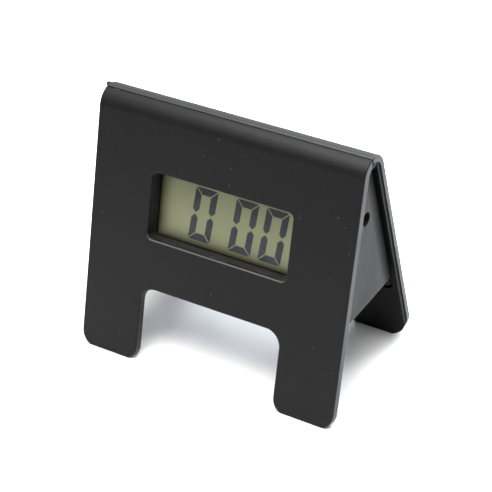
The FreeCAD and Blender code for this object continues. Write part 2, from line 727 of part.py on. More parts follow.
def screws(name, frame, places, tip, seat, head_end, shank_radius, head_radius):
    """A group of alike screws along the frame's depth: shank from tip to seat, crossed head from there."""
    body = new_body(name, frame)
    inward = number(head_end) < number(seat)
    low, high = (head_end, seat) if inward else (seat, head_end)
    extrude(body, "Pad", name + "_heads", "y", low, high,
            *[(draw_circle, x, z, head_radius) for x, z in places])
    start, end = (seat, tip) if inward else (tip, seat)
    extrude(body, "Pad", name + "_shanks", "y", start, end,
            *[(draw_circle, x, z, shank_radius) for x, z in places])
    depth = f"(({high}) - ({low})) / 2"
    if inward:
        start, end = f"({low}) - 1", f"({low}) + {depth}"
    else:
        start, end = f"({high}) - {depth}", f"({high}) + 1"
    reach = f"{head_radius} * 0.6"
    for way, half_x, half_z in (("level", reach, "driver_slot / 2"), ("upright", "driver_slot / 2", reach)):
        extrude(body, "Pocket", f"{name}_{way}_slots", "y", start, end,
                *[(draw_rectangle, f"({x}) - {half_x}", f"({x}) + {half_x}",
                   f"({z}) - {half_z}", f"({z}) + {half_z}") for x, z in places])
    return body


def stand_screws():
    seat = "stand_inside + recess_depth"
    return screws("stand_screws", STAND, stand_screw_places(), "stand_split + skin_thickness * 0.6", seat,
                  f"{seat} - stand_head_height", "stand_screw_radius", "stand_head_radius")


def hinge_pin():
    body = new_body("hinge_pin", LEANING)
    cylinder_across(body, "Additive", "pin", "hinge_in", "hinge_up", "pin_radius",
                    "bore_half - barrel_clearance")
    return body


# ---------------------------------------------------------------------------------------------------
# The case
# ---------------------------------------------------------------------------------------------------
def case_screw_places():
    return both_sides("case_screw_offset", "case_screw_height")


def board_post_places():
    upper = both_sides("board_screw_offset", "upper_board_screw")
    return upper + [("board_screw_offset", "lower_board_screw")]


def front_meets(y, inset="0"):
    """Height z at which the plane `inset` behind the cover crosses the upright plane at level distance y."""
    return f"((({y}) * cos(front_lean) - cover_thickness - ({inset})) / sin(front_lean))"


def draw_level(sketch, corners):
    """Draw an outline whose corners are given level and upright, in the leaning frame."""
    draw_outline(sketch, [lean(y, z) for y, z in corners])


def cut_side_hole(body, name):
    place = lean("parting_depth + side_hole_setback", "side_hole_height")
    extrude(body, "Pocket", name, "x", "inner_half - 0.5", "case_half + 1",
            (draw_circle, *place, "side_hole_radius"))


def case_front():
    body = new_body("case_front", LEANING)
    section = [(front_y("case_bottom"), "case_bottom"), ("front_parting", "case_bottom"),
               ("front_parting", front_meets("front_parting"))]
    extrude(body, "Pad", "front_shell", "x", "-case_half", "case_half", (draw_level, section))
    beyond = "front_parting + 2"
    hollow = [(front_y("inner_bottom", "case_wall"), "inner_bottom"), (beyond, "inner_bottom"),
              (beyond, front_meets(beyond, "case_wall"))]
    extrude(body, "Pocket", "front_hollow", "x", "-inner_half", "inner_half", (draw_level, hollow))
    root = "cover_thickness + case_wall / 2"
    extrude(body, "Pad", "case_posts", "y", root, "case_screw_seat",
            *[(draw_circle, x, z, "case_post_radius") for x, z in case_screw_places()])
    behind = [("front_parting", "case_bottom - 5"), ("height", "case_bottom - 5"),
              ("height", "height"), ("front_parting", "height")]
    extrude(body, "Pocket", "parting_cut", "x", "-case_half", "case_half", (draw_level, behind))
    extrude(body, "Pad", "collar", "y", root, "collar_end",
            (draw_rounded, "-window_width / 2 - collar_wall", "window_width / 2 + collar_wall",
             "window_bottom - collar_wall", "window_top + collar_wall", "window_radius"))
    extrude(body, "Pad", "board_posts", "y", root, "board_depth",
            *[(draw_circle, x, z, "board_post_radius") for x, z in board_post_places()])
    extrude(body, "Pocket", "sight_hole", "y", "cover_thickness - 1", "collar_end + 1",
            (draw_rounded, *WINDOW))
    margin = "(lens_margin + seat_clearance)"
    extrude(body, "Pocket", "lens_seat", "y", "lens_front", "collar_end + 1",
            (draw_rectangle, f"-window_width / 2 - {margin}", f"window_width / 2 + {margin}",
             f"window_bottom - {margin}", f"window_top + {margin}"))
    extrude(body, "Pocket", "case_pilots", "y", "case_screw_tip - seat_clearance", "case_screw_seat",
            *[(draw_circle, x, z, "case_screw_radius + pin_clearance") for x, z in case_screw_places()])
    extrude(body, "Pocket", "board_pilots", "y",
            "board_back - board_screw_length - seat_clearance", "board_depth + 1",
            *[(draw_circle, x, z, "board_screw_radius + pin_clearance") for x, z in board_post_places()])
    extrude(body, "Pocket", "stake_holes", "y", "cover_thickness - 1", "cavity_in + 1",
            *[(draw_circle, x, z, "stake_radius + pin_clearance") for x, z in stake_places()])
    cut_side_hole(body, "front_side_hole")
    return body


def case_back():
    body = new_body("case_back", LEANING)
    relief_up = "ridge_up - top_relief"
    top_in = "cover_thickness + top_relief"
    top_up = f"((case_top + ({top_in}) * sin(front_lean)) / cos(front_lean))"
    section = [lean("back_parting", "case_bottom"), lean(back_y("case_bottom"), "case_bottom"),
               lean(back_y("case_top"), "case_top"), (top_in, top_up), ("cover_thickness", relief_up),
               lean("back_parting", front_meets("back_parting"))]
    extrude(body, "Pad", "back_shell", "x", "-case_half", "case_half", (draw_outline, section))
    round_long_edges(body, "back_corners", "case_half", "corner_radius")
    inner_top = "(case_top - case_wall)"
    before = "(back_parting - 1)"
    hollow = [(before, "inner_bottom"), (back_y("inner_bottom", "case_wall"), "inner_bottom"),
              (back_y(inner_top, "case_wall"), inner_top), (front_y(inner_top, "case_wall"), inner_top),
              (before, front_meets(before, "case_wall"))]
    extrude(body, "Pocket", "back_hollow", "x", "-inner_half", "inner_half", (draw_level, hollow))
    round_long_edges(body, "hollow_corners", "inner_half", "inner_corner_radius")
    add_bay(body)
    add_bosses(body)
    open_door_way(body)
    open_controls(body)
    open_buzzer(body)
    cut_side_hole(body, "back_side_hole")
    for side_name, middle in (("left", "-lug_offset"), ("right", "lug_offset")):
        extrude(body, "Pocket", side_name + "_lug_notch", "y", "cover_thickness - 1", "hinge_in + 4",
                (draw_rectangle, f"{middle} - lug_width / 2 - lug_clearance",
                 f"{middle} + lug_width / 2 + lug_clearance",
                 "hinge_up - seat_radius - arm_thickness - lug_clearance", "hinge_up"))
    return body


def round_long_edges(body, name, half, radius):
    """Round the two edges where the sides (at x = half and -half) meet the back."""
    doc.recompute()
    base = body.Tip
    side = number(half)
    names = []
    for index, edge in enumerate(base.Shape.Edges, start=1):
        ends = [vertex.Point for vertex in edge.Vertexes]
        if edge.Curve.TypeId != "Part::GeomLine" or abs(abs(ends[0].x) - side) > 1e-6:
            continue
        along = ends[1] - ends[0]
        if abs(along.x) > 1e-6 or along.Length < number("case_top - case_bottom") * 0.8:
            continue
        slope = math.degrees(math.atan2(abs(along.y), abs(along.z)))
        if abs(slope - number("lean_sum")) < 1:
            names.append(f"Edge{index}")
    if len(names) != 2:
        raise ValueError(f"{name}: {len(names)} edges found")
    corner = body.newObject("PartDesign::Fillet", name)
    corner.Base = (base, names)
    corner.Radius = number(radius)
    corner.setExpression("Radius", formula(radius))
    return corner


def add_bay(body):
    """Battery bay: a box with its own front, top and end walls, open towards the door."""
    outer_front = "(bay_front - bay_wall)"
    outer_top = "(bay_top + bay_wall)"
    root = "(inner_bottom - case_wall / 2)"
    walls = [(outer_front, bottom_up(outer_front, "case_wall + seat_clearance")),
             lean("back_parting", "inner_bottom + seat_clearance"), lean("back_parting", root),
             lean(back_y(root, "case_wall / 2"), root),
             (back_in(outer_top, "case_wall / 2"), outer_top), (outer_front, outer_top)]
    extrude(body, "Pad", "bay_walls", "x", "bay_left - bay_wall", "bay_right + bay_wall",
            (draw_outline, walls))
    inside = [("bay_front", bottom_up("bay_front", "case_wall")),
              lean(back_y("inner_bottom", "case_wall"), "inner_bottom"),
              (back_in("bay_top", "case_wall"), "bay_top"), ("bay_front", "bay_top")]
    extrude(body, "Pocket", "bay_inside", "x", "bay_left", "bay_right", (draw_outline, inside))
    slots = []
    for left in ("bay_left", "bay_right - contact_thickness"):
        right = f"{left} + contact_thickness"
        slots.append((draw_rectangle, f"{left} - slot_clearance", f"{right} + slot_clearance",
                      "cell_up - slot_clearance", "cell_up + tab_height + slot_clearance"))
    extrude(body, "Pocket", "contact_slots", "y", f"{outer_front} - 0.5", "bay_front + 0.5", *slots)


def add_bosses(body):
    """Two bosses that take the case screws from behind."""
    places = case_screw_places()
    far = back_in("case_screw_height", "case_wall / 2")
    extrude(body, "Pad", "bosses", "y", "cavity_in", far,
            *[(draw_circle, x, z, "case_post_radius") for x, z in places])
    before = [("0", "inner_bottom"), ("back_parting", "inner_bottom"), ("back_parting", "height"),
              ("0", "height")]
    low, high = "(case_screw_offset - case_post_radius - 0.1)", "case_half"
    for side_name, start, end in (("left", f"-{high}", f"-{low}"), ("right", low, high)):
        extrude(body, "Pocket", side_name + "_boss_end", "x", start, end, (draw_level, before))
    extrude(body, "Pocket", "screw_ways", "y", "0", "case_screw_seat + 1",
            *[(draw_circle, x, z, "case_screw_radius + pin_clearance") for x, z in places])
    extrude(body, "Pocket", "head_ways", "y", "case_screw_seat", back_in("case_screw_height", "-5"),
            *[(draw_circle, x, z, "case_head_radius + seat_clearance") for x, z in places])


def draw_on_back(sketch, low, high, outer, inner):
    """A strip of the case's back wall, from low to high along it and between two depths inside it."""
    draw_outline(sketch, [on_back(low, outer), on_back(high, outer), on_back(high, inner),
                          on_back(low, inner)])


def open_door_way(body):
    """Opening for the battery door, with a groove behind each side lip for the door's tongues."""
    top = "door_lift + door_height + door_clearance"
    extrude(body, "Pocket", "door_way", "x", "door_left - door_clearance", "door_right + door_clearance",
            (draw_on_back, "-2", top, "-2", "case_wall + 0.1"))
    reach = "(tongue_reach + door_clearance)"
    extrude(body, "Pocket", "door_grooves", "x", f"door_left - {reach}", f"door_right + {reach}",
            (draw_on_back, "-2", top, "door_lip", "case_wall"))


def button_places():
    return [(f"(first_button + {i} * button_pitch)", "control_height") for i in range(3)]


def open_controls(body):
    """Holes for the three buttons and the slot for the alarm switch."""
    far = back_in("control_height", "-5")
    start = "cavity_in + 2"
    extrude(body, "Pocket", "button_holes", "y", start, far,
            *[(draw_circle, x, z, "button_radius + button_clearance") for x, z in button_places()])
    half = "(knob_width / 2 + knob_travel / 2 + knob_clearance)"
    high = "(knob_height / 2 + knob_clearance)"
    extrude(body, "Pocket", "alarm_slot", "y", start, far,
            (draw_rectangle, f"slider_offset - {half}", f"slider_offset + {half}",
             f"control_height - {high}", f"control_height + {high}"))


def open_buzzer(body):
    """Sound chamber in the back wall behind the buzzer, with a ring of small holes through it."""
    for name, radius, outer, spots in (
            ("sound_chamber", "chamber_radius", "case_wall - chamber_depth", [(0, 0)]),
            ("sound_holes", "sound_hole_radius", "-1", sound_hole_spots())):
        for index, (across, up) in enumerate(spots):
            cut_into_back(body, f"{name}_{index}", f"buzzer_offset + {across} * sound_hole_pitch",
                          f"buzzer_height + {up} * sound_hole_pitch", radius, outer, "case_wall + 0.4")


def sound_hole_spots():
    ring = [(math.cos(math.radians(60 * i)), math.sin(math.radians(60 * i))) for i in range(6)]
    return [(0, 0)] + [(round(x, 4), round(z, 4)) for x, z in ring]


def cut_into_back(body, name, x, up, radius, outer, inner):
    """Cut a round hole square to the case's back face, between two depths inside it."""
    hole = body.newObject("PartDesign::SubtractiveCylinder", name)
    turn = FreeCAD.Rotation(Vector(1, 0, 0), number("lean_sum") + 90)
    depth_in, height_up = on_back(up, outer)
    hole.Placement = FreeCAD.Placement(Vector(number(x), number(depth_in), number(height_up)), turn)
    hole.setExpression("Placement.Base.x", formula(x))
    hole.setExpression("Placement.Base.y", formula(depth_in))
    hole.setExpression("Placement.Base.z", formula(height_up))
    hole.Radius = number(radius)
    hole.setExpression("Radius", formula(radius))
    hole.Height = number(f"({inner}) - ({outer})")
    hole.setExpression("Height", formula(f"({inner}) - ({outer})"))
    return hole


def case_screws():
    return screws("case_screws", LEANING, case_screw_places(), "case_screw_tip", "case_screw_seat",
                  "case_screw_seat + case_head_height", "case_screw_radius", "case_head_radius")


# ---------------------------------------------------------------------------------------------------
# The display
# ---------------------------------------------------------------------------------------------------
def display():
    """Lens, gasket and the glass sandwich, from the window inwards."""
    lens_half = "window_width / 2 + lens_margin"
    block("display_lens", LEANING, f"-({lens_half})", lens_half, "lens_front", "collar_end",
          "window_bottom - lens_margin", "window_top + lens_margin")
    gasket = new_body("display_gasket", LEANING)
    edge = "(seat_clearance + gasket_width)"
    extrude(gasket, "Pad", "gasket_ring", "y", "collar_end", "display_depth",
            (draw_rectangle, f"-window_width / 2 - {edge}", f"window_width / 2 + {edge}",
             f"window_bottom - {edge}", f"window_top + {edge}"),
            (draw_rectangle, "-window_width / 2 - seat_clearance", "window_width / 2 + seat_clearance",
             "window_bottom - seat_clearance", "window_top + seat_clearance"))
    glass_half = "glass_width / 2"
    film_half = "(glass_width / 2 - film_margin)"
    block("lcd_front_polarizer", LEANING, f"-{film_half}", film_half, "display_depth",
          "display_depth + polarizer_thickness", "glass_bottom + film_margin", "glass_top - film_margin")
    block("lcd_front_glass", LEANING, f"-{glass_half}", glass_half, "display_depth + polarizer_thickness",
          "rear_glass_in", "glass_bottom", "glass_top")
    block("lcd_rear_glass", LEANING, f"-{glass_half}", glass_half, "rear_glass_in",
          "rear_glass_in + glass_thickness", "glass_bottom", "rear_glass_top")
    block("lcd_reflector", LEANING, f"-{film_half}", film_half, "rear_glass_in + glass_thickness",
          "display_rear", "glass_bottom + film_margin", "rear_glass_top - film_margin")
    block("zebra_strip", LEANING, "-zebra_width / 2", "zebra_width / 2", "rear_glass_in", "board_depth",
          "zebra_bottom", "zebra_bottom + zebra_thickness")


def lcd_holder():
    """Frame that holds the glass and stands on the circuit board, open at the top behind the glass."""
    body = new_body("lcd_holder", LEANING)
    half = "(glass_width / 2 + seat_clearance)"
    low = "(glass_bottom - seat_clearance)"
    high = "(glass_top + seat_clearance)"
    extrude(body, "Pad", "holder", "y", "display_depth", "board_depth",
            (draw_rectangle, f"-{half} - holder_side", f"{half} + holder_side", f"{low} - holder_rim",
             f"{high} + holder_rim"))
    extrude(body, "Pocket", "glass_seat", "y", "display_depth - 1", "display_rear",
            (draw_rectangle, f"-{half}", half, low, high))
    extrude(body, "Pocket", "holder_opening", "y", "display_rear - 0.5", "board_depth + 1",
            (draw_rectangle, f"-{half} + holder_ledge", f"{half} - holder_ledge",
             f"{low} + holder_ledge", high))
    return body


# ---------------------------------------------------------------------------------------------------
# The circuit board and what stands on it
# ---------------------------------------------------------------------------------------------------
def circuit_board():
    body = new_body("circuit_board", LEANING)
    extrude(body, "Pad", "board_plate", "y", "board_depth", "board_back",
            (draw_rectangle, "-board_width / 2", "board_width / 2", "board_bottom",
             "board_bottom + board_height"),
            *[(draw_circle, x, z, "board_screw_radius + pin_clearance") for x, z in board_post_places()])
    return body


def board_screws():
    return screws("board_screws", LEANING, board_post_places(), "board_back - board_screw_length",
                  "board_back", "board_back + board_head_height", "board_screw_radius", "board_head_radius")


def board_parts():
    """Chip under a drop of resin, the watch crystal and four small capacitors."""
    chip = new_body("clock_chip", LEANING)
    extrude(chip, "Pad", "resin_drop", "y", "board_back", "board_back + chip_thickness",
            (draw_circle, "chip_offset", "chip_height", "chip_radius"))
    doc.recompute()
    top = number("board_back + chip_thickness")
    rim = [f"Edge{i}" for i, edge in enumerate(chip.Tip.Shape.Edges, start=1)
           if abs(edge.BoundBox.YMin - top) < 1e-3 and edge.Curve.TypeId == "Part::GeomCircle"]
    dome = chip.newObject("PartDesign::Fillet", "resin_dome")
    dome.Base = (doc.getObject("resin_drop"), rim)
    dome.Radius = number("chip_thickness * 0.8")
    dome.setExpression("Radius", formula("chip_thickness * 0.8"))

    along_x = FreeCAD.Rotation(Vector(0, 1, 0), 90)
    crystal = round_bar("quartz_crystal", "crystal_radius", "crystal_length")
    put_at(crystal, LEANING, "crystal_offset", "board_back + crystal_radius", "crystal_height", along_x)

    capacitors = new_body("capacitors", LEANING)
    lefts = [f"(capacitor_start + {i} * capacitor_pitch)" for i in range(4)]
    extrude(capacitors, "Pad", "capacitor_blocks", "y", "board_back", "board_back + capacitor_thickness",
            *[(draw_rectangle, left, f"{left} + capacitor_length", "capacitor_height - capacitor_width / 2",
               "capacitor_height + capacitor_width / 2") for left in lefts])


def round_bar(name, radius, length):
    bar = doc.addObject("Part::Cylinder", name)
    bar.Label = name
    for field, text in (("Radius", radius), ("Height", length)):
        setattr(bar, field, number(text))
        bar.setExpression(field, formula(text))
    return bar


def slant_top(body, name, proud):
    """Cut a control off parallel to the case's back, at a height above it."""
    low, high = "control_height - 8", "control_height + 8"
    beyond = "(board_back + 25)"
    extrude(body, "Pocket", name, "x", "-width / 2", "width / 2",
            (draw_outline, [(back_in(low, f"-{proud}"), low), (beyond, low), (beyond, high),
                            (back_in(high, f"-{proud}"), high)]))


def controls():
    """Push switches with their buttons, and the alarm switch with its sliding knob."""
    switches = new_body("push_switches", LEANING)
    half = "switch_side / 2"
    extrude(switches, "Pad", "switch_bodies", "y", "board_back", "board_back + switch_thickness",
            *[(draw_rectangle, f"{x} - {half}", f"{x} + {half}", f"{z} - {half}", f"{z} + {half}")
              for x, z in button_places()])
    extrude(switches, "Pad", "plungers", "y", "board_back + switch_thickness / 2", "switch_top",
            *[(draw_circle, x, z, "plunger_radius") for x, z in button_places()])
    for name, (x, z) in zip(("mode_button", "hour_button", "minute_button"), button_places()):
        button = new_body(name, LEANING)
        extrude(button, "Pad", name + "_cap", "y", "button_bottom", back_in("control_height", "-3"),
                (draw_circle, x, z, "button_radius"))
        slant_top(button, name + "_face", "button_proud")
        extrude(button, "Pad", name + "_flange", "y", "button_bottom", "button_bottom + flange_thickness",
                (draw_circle, x, z, "flange_radius"))

    body = new_body("alarm_switch_body", LEANING)
    half_x, half_z = "slider_body_width / 2", "slider_body_height / 2"
    extrude(body, "Pad", "slider_box", "y", "board_back", "slider_top",
            (draw_rectangle, f"slider_offset - {half_x}", f"slider_offset + {half_x}",
             f"control_height - {half_z}", f"control_height + {half_z}"))
    half_x = "(knob_width / 2 + knob_travel / 2 + knob_clearance)"
    half_z = "(knob_height / 2 + knob_clearance)"
    extrude(body, "Pocket", "slider_slot", "y", "slider_top - knob_sink - knob_clearance", "slider_top + 1",
            (draw_rectangle, f"slider_offset - {half_x}", f"slider_offset + {half_x}",
             f"control_height - {half_z}", f"control_height + {half_z}"))
    knob = new_body("alarm_switch_knob", LEANING)
    middle = "(slider_offset - knob_travel / 2)"
    extrude(knob, "Pad", "knob_stem", "y", "slider_top - knob_sink", back_in("control_height", "-3"),
            (draw_rectangle, f"{middle} - knob_width / 2", f"{middle} + knob_width / 2",
             "control_height - knob_height / 2", "control_height + knob_height / 2"))
    slant_top(knob, "knob_face", "button_proud")


def buzzer():
    """Brass disc with its ceramic on the back wall, and two pins that reach it from the board."""
    outward = FreeCAD.Rotation(Vector(1, 0, 0), 90)
    plate = round_bar("buzzer_plate", "buzzer_radius", "buzzer_plate_thickness")
    put_at(plate, CASE_BACK, "buzzer_offset", "-case_wall", "buzzer_height", outward)
    ceramic = round_bar("buzzer_ceramic", "ceramic_radius", "ceramic_thickness")
    put_at(ceramic, CASE_BACK, "buzzer_offset", "-disc_inset", "buzzer_height", outward)
    pins = new_body("buzzer_pins", LEANING)
    for name, x, inset in (("brass_pin", "buzzer_offset - buzzer_pin_spacing", "disc_inset"),
                           ("ceramic_pin", "buzzer_offset", "disc_inset + ceramic_thickness")):
        extrude(pins, "Pad", name, "y", "board_back", back_in("buzzer_pin_height", "0"),
                (draw_circle, x, "buzzer_pin_height", "buzzer_pin_radius"))
        low, high = "buzzer_pin_height - 2", "buzzer_pin_height + 2"
        extrude(pins, "Pocket", name + "_end", "x", f"{x} - 1", f"{x} + 1",
                (draw_outline, [(back_in(low, inset), low), (back_in(low, "-5"), low),
                                (back_in(high, "-5"), high), (back_in(high, inset), high)]))


# ---------------------------------------------------------------------------------------------------
# The battery and its door
# ---------------------------------------------------------------------------------------------------
def battery():
    along_x = FreeCAD.Rotation(Vector(0, 1, 0), 90)
    cell = round_bar("battery_cell", "cell_radius", "cell_length")
    put_at(cell, LEANING, "cell_left", "cell_in", "cell_up", along_x)
    nub = round_bar("cell_terminal", "nub_diameter / 2", "nub_height")
    put_at(nub, LEANING, "cell_right", "cell_in", "cell_up", along_x)
    half = "contact_side / 2"
    near, far = f"cell_in - {half}", f"cell_in + {half}"
    low, high = f"cell_up - {half}", f"cell_up + {half}"
    plate = [("board_back", "cell_up"), (near, "cell_up"), (near, low), (f"{far} - 2", low), (far, "cell_up"),
             (f"{far} - 2", high), (near, high), (near, "cell_up + tab_height"),
             ("board_back", "cell_up + tab_height")]
    for name, left in (("negative_contact", "bay_left"),
                       ("positive_contact", "bay_right - contact_thickness")):
        contact = new_body(name, LEANING)
        extrude(contact, "Pad", name + "_plate", "x", left, f"{left} + contact_thickness",
                (draw_outline, plate))
    negative_spring(along_x)
    battery_door()


def negative_spring(along_x):
    """Coil spring between the negative contact and the cell."""
    coil = doc.addObject("Part::Helix", "spring_line")
    bind(coil, "Height", "spring_length - 2 * wire_radius")
    bind(coil, "Pitch", "(spring_length - 2 * wire_radius) / spring_turns")
    bind(coil, "Radius", "spring_radius")
    wire = doc.addObject("Part::Circle", "spring_wire")
    wire.Placement = FreeCAD.Placement(Vector(number("spring_radius"), 0, 0),
                                       FreeCAD.Rotation(Vector(1, 0, 0), 90))
    wire.setExpression("Placement.Base.x", formula("spring_radius"))
    bind(wire, "Radius", "wire_radius")
    doc.recompute()
    spring = doc.addObject("Part::Sweep", "negative_spring")
    spring.Label = "negative_spring"
    spring.Sections = [wire]
    spring.Spine = (coil, [f"Edge{i + 1}" for i in range(len(coil.Shape.Edges))])
    spring.Solid = True
    spring.Frenet = True
    put_at(spring, LEANING, "bay_left + contact_thickness + wire_radius", "cell_in", "cell_up", along_x)


def bind(item, field, text):
    setattr(item, field, number(text))
    item.setExpression(field, formula(text))


def battery_door():
    """Sliding door with a tongue along each side and three grip grooves."""
    body = new_body("battery_door", CASE_BACK)
    top = "door_lift + door_height"
    extrude(body, "Pad", "door_plate", "y", "-door_thickness", "0",
            (draw_rectangle, "door_left", "door_right", "door_lift", top))
    extrude(body, "Pad", "door_tongues", "y", "-door_thickness", "-door_lip - door_clearance / 2",
            (draw_rectangle, "door_left - tongue_reach", "door_right + tongue_reach", "door_lift", top))
    middle = "((door_left + door_right) / 2)"
    lines = []
    for step in (-1, 0, 1):
        level = f"(door_lift + door_height / 2 + {step} * grip_pitch)"
        lines.append((draw_rectangle, f"{middle} - grip_width / 2", f"{middle} + grip_width / 2",
                      f"{level} - grip_line / 2", f"{level} + grip_line / 2"))
    extrude(body, "Pocket", "grip_lines", "y", "-grip_depth", "1", *lines)
    return body


# ---------------------------------------------------------------------------------------------------
# Finish: check every object, then write one file for each piece
# ---------------------------------------------------------------------------------------------------
def check_and_write():
    doc.recompute()
    for item in doc.Objects:
        if "Invalid" in item.State or "Error" in item.State:
            raise RuntimeError(f"{item.Label} failed: {item.State}")
        if item.TypeId == "PartDesign::Pocket" and item.BaseFeature is not None:
            if item.Shape.Volume > item.BaseFeature.Shape.Volume - 1e-4:
                raise RuntimeError(f"{item.Label} cuts nothing")
    os.makedirs("parts", exist_ok=True)
    for piece in PIECES:
        if piece.Shape.isNull() or not piece.Shape.isValid():
            raise RuntimeError(f"{piece.Label} has no valid shape")
    for piece in PIECES:
        piece.Shape.exportStep(f"parts/{piece.Label}.step")
        box = piece.Shape.BoundBox
        print(f"{piece.Label:22s} {len(piece.Shape.Solids)} solid(s)  {piece.Shape.Volume:9.1f} mm3  "
              f"x {box.XMin:6.1f} {box.XMax:6.1f}  y {box.YMin:6.1f} {box.YMax:6.1f}  "
              f"z {box.ZMin:6.1f} {box.ZMax:6.1f}")


front_cover()
stand_cover()
stand_panel()
stand_screws()
hinge_pin()
case_front()
case_back()
case_screws()
display()
lcd_holder()
circuit_board()
board_screws()
board_parts()
controls()
buzzer()
battery()
check_and_write()
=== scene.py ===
# %% [markdown]
# # A folding alarm clock in moulded black plastic
# The clock is two black plates that meet at a rolled ridge, with a flat case behind the front one.
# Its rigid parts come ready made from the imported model, in metres and already in place, so this
# script only dresses them: it gives every part its finish and adds the digits on the display
# and the small tip at the end of the ridge.
# Loading comes first, because every later step reads its places from these parts.

# %% Load the frame
import json
import math

import bpy
import numpy as np
from mathutils import Matrix, Vector


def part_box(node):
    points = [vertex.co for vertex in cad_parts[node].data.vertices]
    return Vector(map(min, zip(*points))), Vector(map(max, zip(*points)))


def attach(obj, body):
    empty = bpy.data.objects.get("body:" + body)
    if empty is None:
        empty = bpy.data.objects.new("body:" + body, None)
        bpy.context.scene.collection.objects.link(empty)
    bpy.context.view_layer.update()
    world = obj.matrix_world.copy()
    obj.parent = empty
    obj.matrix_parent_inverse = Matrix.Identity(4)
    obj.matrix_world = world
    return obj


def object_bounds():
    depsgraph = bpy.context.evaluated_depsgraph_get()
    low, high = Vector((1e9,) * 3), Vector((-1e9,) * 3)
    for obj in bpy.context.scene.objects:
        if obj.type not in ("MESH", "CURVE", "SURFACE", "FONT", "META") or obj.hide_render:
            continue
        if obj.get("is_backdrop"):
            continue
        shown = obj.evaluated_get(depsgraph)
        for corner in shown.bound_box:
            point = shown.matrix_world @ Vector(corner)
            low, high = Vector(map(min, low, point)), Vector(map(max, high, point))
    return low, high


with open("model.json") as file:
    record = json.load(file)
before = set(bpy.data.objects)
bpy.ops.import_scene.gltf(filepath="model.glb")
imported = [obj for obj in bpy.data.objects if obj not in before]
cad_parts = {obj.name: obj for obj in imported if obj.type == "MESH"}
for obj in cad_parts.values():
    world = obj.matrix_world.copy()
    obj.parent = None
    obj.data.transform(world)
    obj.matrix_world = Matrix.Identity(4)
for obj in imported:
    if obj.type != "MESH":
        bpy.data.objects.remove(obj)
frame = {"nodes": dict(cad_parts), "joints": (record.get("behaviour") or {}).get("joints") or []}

CAD_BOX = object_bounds()

# %% [markdown]
# ## Directions on the leaning front
# The front plate and everything in the case lean back together. The buttons press straight
# through it, so their sliding direction in the record is the direction out of the front.
# Reading it there keeps the lean in one place, instead of typing the angle again.

# %% Directions of the leaning front
press = next(joint for joint in frame["joints"] if joint["name"] == "mode_button_press")
OUT = np.array(press["axis"], float)
OUT /= np.linalg.norm(OUT)
ACROSS = np.array([1.0, 0.0, 0.0])
UP = np.cross(OUT, ACROSS)
UP *= np.sign(UP[2])


def corners_of(node):
    """Every corner of a part's mesh as one array, three numbers to a row."""
    mesh = frame["nodes"][node].data
    flat = np.empty(len(mesh.vertices) * 3)
    mesh.vertices.foreach_get("co", flat)
    return flat.reshape(-1, 3)


def reach(node, direction):
    """The least and greatest distance of a part's corners along a direction."""
    along = corners_of(node) @ direction
    return along.min(), along.max()


def on_front(across, up, out):
    """Points from distances across, up and out of the leaning front, as one array."""
    return (np.multiply.outer(across, ACROSS) + np.multiply.outer(up, UP)
            + np.multiply.outer(out, OUT))


print("the front leans", round(math.degrees(math.atan2(UP[1], UP[2])), 2), "degrees")

# %% [markdown]
# ## The view
# A long lens from some distance keeps the edges of a small product nearly parallel. The camera
# stands to the right of the front and above it, and is rolled a little, as a hand-held one is.
# It is aimed at the middle of the clock's own box, so it follows if the clock changes.

# %% The camera
CAMERA_SIDE = math.radians(33.13)
CAMERA_RISE = math.radians(35.53)
CAMERA_ROLL = math.radians(-3.17)
CAMERA_DISTANCE = 0.5209
CAMERA_LENS = 125.9
AIM_OFF_CENTRE = Vector((0.0016, 0.0, -0.0040))


def aim_camera():
    """The camera, turned to look at the clock from the side and rise above."""
    centre = (CAD_BOX[0] + CAD_BOX[1]) / 2
    back = Vector((math.sin(CAMERA_SIDE) * math.cos(CAMERA_RISE),
                   -math.cos(CAMERA_SIDE) * math.cos(CAMERA_RISE),
                   math.sin(CAMERA_RISE)))
    camera = bpy.data.objects.new("camera", bpy.data.cameras.new("camera"))
    bpy.context.scene.collection.objects.link(camera)
    camera.location = centre + AIM_OFF_CENTRE + back * CAMERA_DISTANCE
    look = (-back).to_track_quat("-Z", "Y").to_matrix()
    camera.rotation_euler = (look @ Matrix.Rotation(CAMERA_ROLL, 3, "Z")).to_euler()
    camera.data.lens = CAMERA_LENS
    camera.data.sensor_width = 36.0
    camera.data.clip_start = 0.01
    camera.data.clip_end = 20.0
    return camera


bpy.context.scene.camera = aim_camera()
print("camera at", [round(value, 4) for value in bpy.context.scene.camera.location])

# %% [markdown]
# ## Floor and light
# Black plastic shows almost nothing but what it mirrors. So the room matters more than the lamps:
# a bright white floor, a wide cool lamp behind for the ridge and the ends, one overhead for the
# roll and the floor, and weak ones at the right and in front, which keep the face dark.

# %% The floor
FLOOR_RADIUS = 3.0
FLOOR_MIDDLE = 0.4
FLOOR_SIDES = 96


def pale_floor():
    """A flat disc: rings of growing radius crossed with angles all the way round."""
    radius = np.array([FLOOR_MIDDLE, FLOOR_RADIUS])
    angle = np.linspace(0.0, 2.0 * np.pi, FLOOR_SIDES, endpoint=False)
    ring = radius[:, None] * np.exp(1j * angle[None, :])
    flat = np.concatenate([[0j], ring.ravel()])
    points = np.stack([flat.real, flat.imag, np.zeros(flat.size)], axis=1)
    count = angle.size
    inner = 1 + np.arange(count)
    after = np.roll(inner, -1)
    fan = np.stack([np.zeros(count, int), inner, after], axis=1)
    band = np.stack([inner, inner + count, after + count, after], axis=1)
    mesh = bpy.data.meshes.new("floor")
    mesh.from_pydata(points.tolist(), [], fan.tolist() + band.tolist())
    floor = bpy.data.objects.new("floor", mesh)
    bpy.context.scene.collection.objects.link(floor)
    floor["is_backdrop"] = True
    return floor


FLOOR = pale_floor()
print("floor radius", FLOOR_RADIUS)

